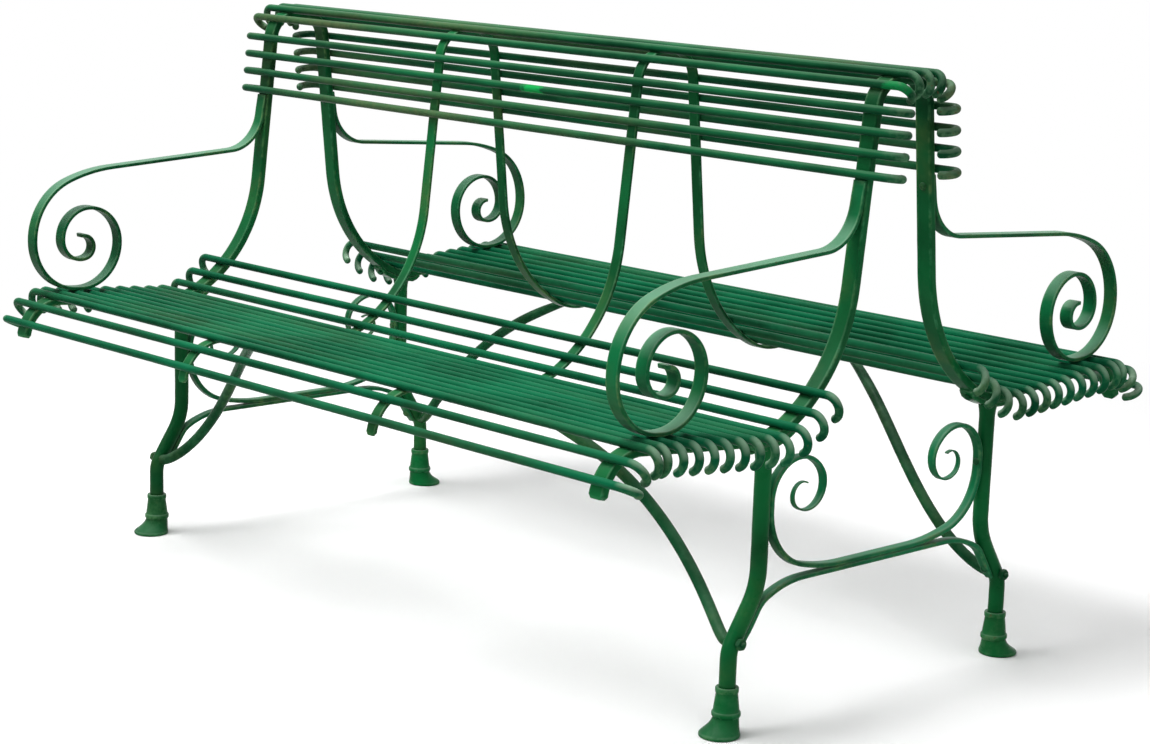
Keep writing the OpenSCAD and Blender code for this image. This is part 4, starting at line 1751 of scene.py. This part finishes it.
@dataclass(frozen=True)
class Braces:
    """Four long curved braces from the legs to the inner bars."""

    sizes: BenchSizes
    diameter: float = 0.017
    root: float = 0.020
    inside: tuple[float, float] = (0.004, 0.002)
    bow: tuple[float, float, float] = (0.285, -0.8, 0.225)
    rise: tuple[float, float, float] = (0.455, -0.105, 0.95)
    flat_from: float = 0.80
    flat_over: float = 0.20
    squareness: float = 0.62
    palm_rods: tuple[int, int] = (4, 5)
    palm_depth: float = 0.005
    palm_length: float = 0.044
    palm_width: float = 0.015
    palm_fore: float = 0.45
    palm_aft: float = 0.65
    palm_steps: int = 8
    palm_rounding: float = 0.006
    tip_width: float = 0.55
    tip_depth: float = 0.6
    tip_least: float = 0.02
    screw_end: float = 0.004
    pitch: float = 0.0008
    threads: int = 4
    thread_root: float = 0.9
    thread_ends: tuple[float, float] = (0.8, 0.45)
    thread_sides: int = 20
    thread_wear: float = 0.7
    wear: float = 0.25
    look_ahead: float = 0.01
    rings: int = 56
    sides: int = 20

    def palm_place(self) -> float:
        """Returns where the palm's rivet crosses the frame curve."""
        return sum(self.sizes.seat_place(rod) for rod in self.palm_rods) / 2

    def palm_pose(self) -> Pose:
        """Returns the palm's place under the inner bar."""
        return self.sizes.face(self.palm_place()).moved(0, -self.sizes.inner_bar_depth)

    def points(self) -> list[Vector]:
        """Lists the brace's guide points for the right end, as x, distance out and height.

        Returns:
            The five guide points from the leg to the palm.
        """
        s = self.sizes
        bolt = s.brace_bolt()
        palm = self.palm_pose()
        low = Vector((s.end_x - s.leg_diameter / 2, bolt.out, bolt.up))
        high = Vector((s.inner_x + self.palm_length * self.palm_fore, palm.out,
                       palm.up - self.diameter / 2))
        span = high - low
        bow = low + Vector([span[i] * self.bow[i] for i in range(3)])
        rise = low + Vector([span[i] * self.rise[i] for i in range(3)])
        return [low, low - Vector((self.root, 0, 0)), bow, rise, high]

    def centre(self, share: float) -> Vector:
        """Finds a point on the brace's middle line.

        Args:
            share: Place from the leg, 0, to the palm, 1.

        Returns:
            The point as x, distance out and height.
        """
        points = self.points()
        while len(points) > 1:
            points = [a.lerp(b, share) for a, b in zip(points, points[1:])]
        return points[0]

    def ring(self, centre: Vector, side_way: Vector, up_way: Vector, half_width: float, half_depth: float,
             square: float) -> list[Vector]:
        """Draws one ring between round and flat.

        Args:
            centre: Middle of the ring.
            side_way: Direction across the brace.
            up_way: Direction through its thickness.
            half_width: Half width.
            half_depth: Half thickness.
            square: 0 for a round ring, 1 for a flat one with soft corners.

        Returns:
            The ring's points.
        """
        power = 1 - self.squareness * square
        points = []
        for turn in turns(self.sides):
            c = math.cos(turn)
            s = math.sin(turn)
            across = math.copysign(abs(c) ** power, c) * half_width
            through = math.copysign(abs(s) ** power, s) * half_depth
            points.append(centre + side_way * across + up_way * through)
        return points

    def palm_ways(self) -> tuple[Vector, Vector]:
        """Returns the directions across the palm and through it."""
        h = math.radians(self.palm_pose().heading)
        return Vector((0, math.cos(h), math.sin(h))), Vector((0, -math.sin(h), math.cos(h)))

    def bent_ring(self, share: float) -> list[Vector]:
        """Draws a ring of the curved part, which flattens towards the palm.

        Args:
            share: Place from the leg, 0, to the palm, 1.

        Returns:
            The ring's points.
        """
        palm_side, palm_up = self.palm_ways()
        radius = self.diameter / 2
        here = self.centre(share)
        next_point = self.centre(min(1, share + self.look_ahead))
        ahead = next_point - self.centre(max(0, share - self.look_ahead))
        ahead.normalize()
        flat = smooth_step((share - self.flat_from) / self.flat_over)
        side_way = ACROSS - ahead * ahead.y
        side_way = side_way.normalized().lerp(palm_side, flat).normalized()
        up_way = side_way.cross(ahead).normalized()
        if up_way.z < 0:
            up_way.negate()
        up_way = up_way.lerp(palm_up, flat).normalized()
        if share == 0:
            side_way, up_way = ACROSS, UPWARD
        lift = palm_up * ((radius - self.palm_depth / 2) * flat)
        width = radius + (self.palm_width / 2 - radius) * flat
        depth = radius + (self.palm_depth / 2 - radius) * flat
        return self.ring(here + lift, side_way, up_way, width, depth, flat)

    def bar(self) -> list[list[Vector]]:
        """Draws the brace's rings for the right end, from inside the leg to the palm's tip.

        Returns:
            The rings, as x, distance out and height.
        """
        radius = self.diameter / 2
        start = self.points()[0]
        rings = [self.ring(start + Vector((inside, 0, 0)), ACROSS, UPWARD, radius, radius, 0)
                 for inside in self.inside]
        rings += [self.bent_ring(i / self.rings) for i in range(self.rings + 1)]
        palm_side, palm_up = self.palm_ways()
        tip = self.sizes.inner_x - self.palm_length * (1 - self.palm_aft)
        start_x = rings[-1][0].x
        base = self.palm_pose().moved(0, -self.palm_depth / 2)
        for i in range(1, self.palm_steps + 1):
            x = start_x + (tip - start_x) * i / self.palm_steps
            narrow = rounded(x - tip, self.palm_rounding, self.tip_least)
            width = self.palm_width / 2 * (self.tip_width + (1 - self.tip_width) * narrow)
            depth = self.palm_depth / 2 * (self.tip_depth + (1 - self.tip_depth) * narrow)
            rings.append(self.ring(Vector((x, base.out, base.up)), palm_side, palm_up, width, depth, 1))
        return rings

    def thread(self) -> list[tuple[float, float, float]]:
        """Draws the screwed end's profile from the brace through the leg and the nut.

        Returns:
            Height, radius and shift of each ring.
        """
        s = self.sizes
        r = s.bolt_diameter / 2
        plain = s.leg_diameter + s.nut_height
        end = plain + self.screw_end
        profile = [(0.0, r), (plain, r)]
        for i in range(self.threads):
            up = plain + self.pitch * i
            profile += [(up + self.pitch / 4, r * self.thread_root), (up + self.pitch * 3 / 4, r)]
        profile += [(end - self.pitch / 2, r * self.thread_ends[0]), (end, r * self.thread_ends[1])]
        return [(up, radius, 0.0) for up, radius in profile]

    def pieces(self) -> list[Piece]:
        """Builds and paints the four braces with their screwed ends.

        Returns:
            The four pieces.
        """
        s = self.sizes
        made = []
        rings = self.bar()
        for corner in CORNERS:
            brace = IronMesh()
            brace.shell([[Vector((corner.x(p.x), corner.side.value * p.y, p.z)) for p in ring]
                         for ring in rings], [[self.wear] * self.sides for _ in rings])
            root = Matrix.Translation(corner.spot(s.brace_bolt(), s.end_x - s.leg_diameter / 2))
            brace.turned(self.thread(), root @ corner.outward_turn(), self.thread_sides, self.thread_wear)
            made.append(dressed(brace.build(f"curved_brace_{corner.name}"), BRACE_PAINT,
                                f"brace_{corner.name}"))
        return made


@dataclass(frozen=True)
class Stretchers:
    """Scrolled upper and plain lower straps that tie the legs at each end."""

    sizes: BenchSizes
    height: float = 0.207
    edge: float = 0.0022
    dent: float = 0.0002
    rise_radius: float = 0.338
    rise_turn: float = 15
    corner_radius: float = 0.089
    contact: float = 0.011
    curl_shares: tuple[float, float, float] = (0.24, 0.146, 0.0815)
    curl_turn: float = 145
    curl_ease: float = 15
    fall_radius: float = 0.168
    fall_turn: float = 26
    onto_leg_radius: float = 0.045
    strap_gap: float = 0.004
    rivet_share: float = 0.6
    point_length: float = 0.170
    point_width: float = 0.45
    drawn_length: float = 0.300
    drawn_depth: float = 0.30
    end_rounding: float = 0.006
    end_width: float = 0.8
    scarf: float = 0.030
    scarf_depth: float = 0.2
    worn_heart: float = 0.012
    worn_end: float = 0.003
    upper_step: float = 0.007
    lower_step: float = 0.006

    def on_leg(self) -> float:
        """Returns how far out the upper strap touches the leg."""
        s = self.sizes
        return s.leg_path().start.out - (s.leg_diameter + s.strap_depth) / 2

    def rise(self) -> tuple[Run, Run]:
        """Returns the upper strap's rise and corner."""
        return (Run(self.rise_radius, self.rise_turn), Run(self.corner_radius, 90 - self.rise_turn))

    def straight(self) -> float:
        """Returns half the length of the upper strap's level part."""
        return self.on_leg() - Path(Pose(0, 0), self.rise()).end().out

    def upper(self) -> Path:
        """Lays out half of the upper strap's middle line.

        Returns:
            The line from the middle of the bench to the scroll's heart.
        """
        tall = self.sizes.seat_height - self.height
        curls = tuple(Run(tall * share, self.curl_turn + i * self.curl_ease)
                      for i, share in enumerate(self.curl_shares))
        runs = (Run(self.straight()),) + self.rise() + (Run(self.contact),) + curls
        return Path(Pose(0, self.height), runs)

    def bolt(self) -> Pose:
        """Returns where the bolt crosses the upper strap."""
        path = self.upper()
        return Path(path.start, path.runs[:3]).end().moved(self.contact / 2, 0)

    def lower(self) -> Path:
        """Lays out half of the lower strap's middle line.

        Returns:
            The line from the middle of the bench to the strap's end on the leg.
        """
        s = self.sizes
        start = Pose(0, self.height - s.strap_depth)
        fall = (Run(self.fall_radius, -self.fall_turn),
                Run(self.onto_leg_radius, self.fall_turn + s.leg_lean - 90))
        end = Path(start, fall).end()
        lean = math.radians(s.leg_lean)
        out = Vector((math.cos(lean), math.sin(lean)))
        slant = s.slant_start()
        miss = Vector((slant.out - end.out, slant.up - end.up))
        half = (out.dot(miss) - (s.leg_diameter + s.strap_depth) / 2) / out.x
        down = Vector((math.sin(lean), -math.cos(lean)))
        bolt = s.brace_bolt()
        tail = down.dot(Vector((bolt.out - end.out - half, bolt.up - end.up))) - self.strap_gap
        return Path(start, (Run(half),) + fall + (Run(tail),))

    def rivet(self) -> Pose:
        """Finds the rivet of the lower strap.

        Returns:
            Where the rivet crosses the strap.
        """
        path = self.lower()
        tail = path.runs[-1].length()
        return path.pose(path.length() - tail * (1 - self.rivet_share))

    def upper_shape(self, along: float, length: float) -> Shape:
        """Draws both scrolls out to thin points.

        Args:
            along: Distance from one scroll's heart.
            length: Length of the strap.

        Returns:
            The strap's shape there.
        """
        near = min(along, length - along)
        drawn = eased(near, self.drawn_length, self.drawn_depth)
        return Shape(across=eased(near, self.point_length, self.point_width), low=drawn, high=drawn,
                     wear=1.0 if near < self.worn_heart else 0.0)

    def lower_shape(self, along: float, length: float) -> Shape:
        """Thins the lower strap's ends where they lie on the legs.

        Args:
            along: Distance from one end.
            length: Length of the strap.

        Returns:
            The strap's shape there.
        """
        near = min(along, length - along)
        return Shape(across=eased(near, self.end_rounding, self.end_width),
                     low=eased(near, self.scarf, self.scarf_depth),
                     wear=1.0 if near < self.worn_end else 0.0)

    def pieces(self) -> list[Piece]:
        """Builds and paints the four straps.

        Returns:
            The four pieces.
        """
        s = self.sizes
        section = bar_section(s.strap_width, -s.strap_depth / 2, s.strap_depth / 2, self.edge)
        straps = (("scrolled", "upper", self.upper(), self.upper_shape, self.upper_step),
                  ("under", "lower", self.lower(), self.lower_shape, self.lower_step))
        made = []
        for end in End:
            side = end.name.lower()
            for kind, level, half, shape, step in straps:
                strap = IronMesh(self.dent)
                strap.sweep(half.whole(), section, Side.REAR, end.value * s.end_x, shape, step)
                made.append(dressed(strap.build(f"{kind}_stretcher_{side}"), STRAP_PAINT,
                                    f"{level}_stretcher_{side}"))
        return made


@dataclass(frozen=True)
class Head:
    """A rivet head: where its rivet crosses, how far out it sits and which way it faces."""

    pose: Pose
    level: float
    faces_left: bool


@dataclass(frozen=True)
class Fasteners:
    """Rivets, studs and nuts that hold the ironwork together."""

    sizes: BenchSizes
    head_radius: float = 0.006
    head_height: float = 0.0034
    roughness: float = 0.10
    first_seed: int = 5
    nut_sharp: float = 25
    nut_twists: tuple[float, float] = (0.4, 1.7)
    nut_end_twist: float = 0.6

    def spots(self, heads: list[Head], x: float) -> list[Spot]:
        """Marks the heads on both seats and both ends.

        Args:
            heads: The heads on one seat side.
            x: Distance of the rivets from the middle.

        Returns:
            The marked heads.
        """
        found = []
        for head in heads:
            pose = head.pose.moved(0, head.level)
            for corner in CORNERS:
                left = outward(pose, corner.side)
                found.append(Spot(corner.spot(pose, x), left if head.faces_left else -left,
                                  self.head_radius))
        return found

    def pieces(self, tree: StudTree, arms: Arms, braces: Braces, straps: Stretchers) -> list[Piece]:
        """Builds and paints every fastener.

        Args:
            tree: The rivet head's node tree.
            arms: The arms, for their rivets' places.
            braces: The braces, for their rivets' places.
            straps: The stretchers, for their studs' places.

        Returns:
            The pieces.
        """
        s = self.sizes
        strap = s.strap_depth / 2
        under_saddle = -s.end_bar_depth - s.saddle_depth
        palm = s.face(braces.palm_place())
        rows = {
            "arm_back_rivets": ([Head(arms.rivet(), s.end_bar_depth + arms.depth / 2, True)], s.end_x),
            "leg_rivets": ([Head(s.face(at), under_saddle, False) for at in s.saddle_rivets()], s.end_x),
            "brace_rivets": ([Head(palm, -s.inner_bar_depth - braces.palm_depth, False)], s.inner_x),
            "stretcher_bolts": ([Head(straps.bolt(), strap, True)], s.end_x),
            "stretcher_rivets": ([Head(straps.rivet(), -strap, False)], s.end_x),
        }
        made = []
        for seed, (node, (heads, x)) in enumerate(rows.items(), self.first_seed):
            values = {"Half Width": self.head_radius, "Half Height": self.head_height,
                      "Roughness": self.roughness, "Seed": seed, "Paint": FASTENER_PAINT.material()}
            row = tree.grow("hammered_" + node, marked(node, self.spots(heads, x)), values)
            made.append(dressed(row, FASTENER_PAINT, node))
        return made + self.brace_nuts()

    def brace_nuts(self) -> list[Piece]:
        """Builds the nuts on the braces' screwed ends, each turned its own way.

        Returns:
            One piece for the four nuts.
        """
        s = self.sizes
        twists = dict(zip(Side, self.nut_twists))
        nuts = IronMesh()
        for corner in CORNERS:
            seat = Matrix.Translation(corner.spot(s.brace_bolt(), s.end_x + s.leg_diameter / 2))
            twist = Matrix.Rotation(twists[corner.side] + self.nut_end_twist * corner.end.value, 4, "Z")
            nuts.nut(s.nut_width, s.nut_height, seat @ corner.outward_turn() @ twist)
        return [dressed(nuts.build("end_nuts", self.nut_sharp), FASTENER_PAINT, "brace_nuts")]


# Studio


@dataclass(frozen=True)
class Lamp:
    """A soft square lamp that looks at the middle of the bench."""

    name: str
    place: tuple[float, float, float]
    size: float
    power: float
    aim: tuple[float, float, float] = (0, 0, 0.45)

    def hang(self) -> None:
        """Adds the lamp to the scene."""
        data = bpy.data.lights.new(self.name, "AREA")
        data.shape = "SQUARE"
        data.size = self.size
        data.energy = self.power
        lamp = placed(self.name, data)
        lamp.location = self.place
        way = Vector(self.aim) - Vector(self.place)
        lamp.rotation_euler = way.to_track_quat("-Z", "Y").to_euler()


@dataclass(frozen=True)
class Studio:
    """Pale floor, white surroundings, soft lamps and the camera."""

    lens: float = 81.38
    sensor: float = 36.0
    camera_place: tuple[float, float, float] = (2.9604, -2.7772, 1.1588)
    azimuth: float = 45.762
    elevation: float = 12.700
    roll: float = 1.883
    centre_across: float = 599.2
    centre_down: float = 443.6
    sight: float = 200
    floor_size: float = 60.0
    floor_white: float = 0.97
    floor_fade: Ramp = Ramp(1.0, 2.6)
    sky: float = 0.22
    lamps: tuple[Lamp, ...] = (
        Lamp("overhead_lamp", (-0.6, -1.2, 4.2), 3.0, 290.0),
        Lamp("front_lamp", (-1.4, -4.2, 3.2), 2.0, 60.0),
        Lamp("side_lamp", (4.4, -1.4, 2.8), 2.0, 25.0),
    )

    def build(self) -> None:
        """Builds the floor, the surroundings, the lamps and the camera."""
        self.camera()
        self.floor()
        self.surroundings()
        for lamp in self.lamps:
            lamp.hang()
        bpy.context.scene.view_settings.view_transform = "Standard"
        LOG.info("studio built")

    def camera(self) -> None:
        """Adds the camera at the photograph's angle and makes it the scene's."""
        data = bpy.data.cameras.new("bench_camera")
        data.lens = self.lens
        data.sensor_width = self.sensor
        data.sensor_fit = "HORIZONTAL"
        data.shift_x = 0.5 - self.centre_across / IMAGE_WIDTH
        data.shift_y = (self.centre_down - IMAGE_HEIGHT / 2) / IMAGE_WIDTH
        data.clip_end = self.sight
        view = placed("bench_camera", data)
        a = math.radians(self.azimuth)
        e = math.radians(self.elevation)
        ahead = Vector((-math.sin(a) * math.cos(e), math.cos(a) * math.cos(e), -math.sin(e)))
        level = Vector((math.cos(a), math.sin(a), 0))
        above = level.cross(ahead)
        r = math.radians(self.roll)
        right = level * math.cos(r) + above * math.sin(r)
        up = above * math.cos(r) - level * math.sin(r)
        turn = Matrix((right, up, -ahead)).transposed()
        view.matrix_world = Matrix.Translation(self.camera_place) @ turn.to_4x4()
        bpy.context.scene.camera = view

    def seen_directly(self, t: TreeMaker) -> bpy.types.NodeSocket:
        """Adds nodes that pick out camera, glossy and transmission rays.

        Args:
            t: Maker of the tree.

        Returns:
            A socket that is 1 for those rays.
        """
        rays = t.node("ShaderNodeLightPath").outputs
        both = t.math("MAXIMUM", rays["Is Camera Ray"], rays["Is Glossy Ray"])
        return t.math("MAXIMUM", both, rays["Is Transmission Ray"])

    def floor(self) -> None:
        """Lays the pale floor, which turns plain white away from the bench."""
        half = self.floor_size / 2
        mesh = bpy.data.meshes.new("studio_floor")
        mesh.from_pydata([(-half, -half, 0), (half, -half, 0), (half, half, 0), (-half, half, 0)], [],
                         [(0, 1, 2, 3)])
        made = placed("studio_floor", mesh)
        paper = bpy.data.materials.new("pale_floor")
        paper.use_nodes = True
        paper.node_tree.nodes.clear()
        t = TreeMaker(paper.node_tree)
        place = t.node("ShaderNodeTexCoord").outputs["Object"]
        far = t.vector("LENGTH", place).outputs["Value"]
        away = t.times(t.spread(far, self.floor_fade), self.seen_directly(t))
        matt = t.node("ShaderNodeBsdfDiffuse")
        matt.inputs["Color"].default_value = (self.floor_white,) * 3 + (1,)
        white = t.node("ShaderNodeEmission")
        white.inputs["Strength"].default_value = 1.0
        mix = t.node("ShaderNodeMixShader", {0: away, 1: matt.outputs[0], 2: white.outputs[0]})
        t.node("ShaderNodeOutputMaterial", {0: mix.outputs[0]})
        mesh.materials.append(paper)

    def surroundings(self) -> None:
        """Makes the surroundings white to look at and plain as a light."""
        world = bpy.data.worlds.new("studio_white")
        world.use_nodes = True
        world.node_tree.nodes.clear()
        t = TreeMaker(world.node_tree)
        lit = t.node("ShaderNodeBackground", {"Color": (1, 1, 1, 1), "Strength": self.sky})
        seen = t.node("ShaderNodeBackground", {"Color": (1, 1, 1, 1), "Strength": 1.0})
        mix = t.node("ShaderNodeMixShader", {0: self.seen_directly(t), 1: lit.outputs[0],
                                             2: seen.outputs[0]})
        t.node("ShaderNodeOutputWorld", {0: mix.outputs[0]})
        bpy.context.scene.world = world


def main() -> None:
    """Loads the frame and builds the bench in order."""
    logging.basicConfig(level=logging.INFO, format="%(message)s")
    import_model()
    Studio().build()
    sizes = BENCH
    rods = HookedRods(sizes)
    arms = Arms(sizes)
    braces = Braces(sizes)
    straps = Stretchers(sizes)
    beads = StudTree("weld_bead", segments=10, rings=6)
    heads = StudTree("rivet_head", segments=20, rings=12)
    pieces = SupportFrames(sizes).pieces()
    pieces += rods.pieces(RodTree())
    pieces += WeldBeads(sizes).pieces(rods.rows(), beads)
    pieces += arms.pieces()
    pieces += Legs(sizes).pieces()
    pieces += Feet(sizes).pieces()
    pieces += braces.pieces()
    pieces += straps.pieces()
    pieces += Fasteners(sizes).pieces(heads, arms, braces, straps)
    for piece in pieces:
        piece.hand_over()


if __name__ == "__main__":
    main()
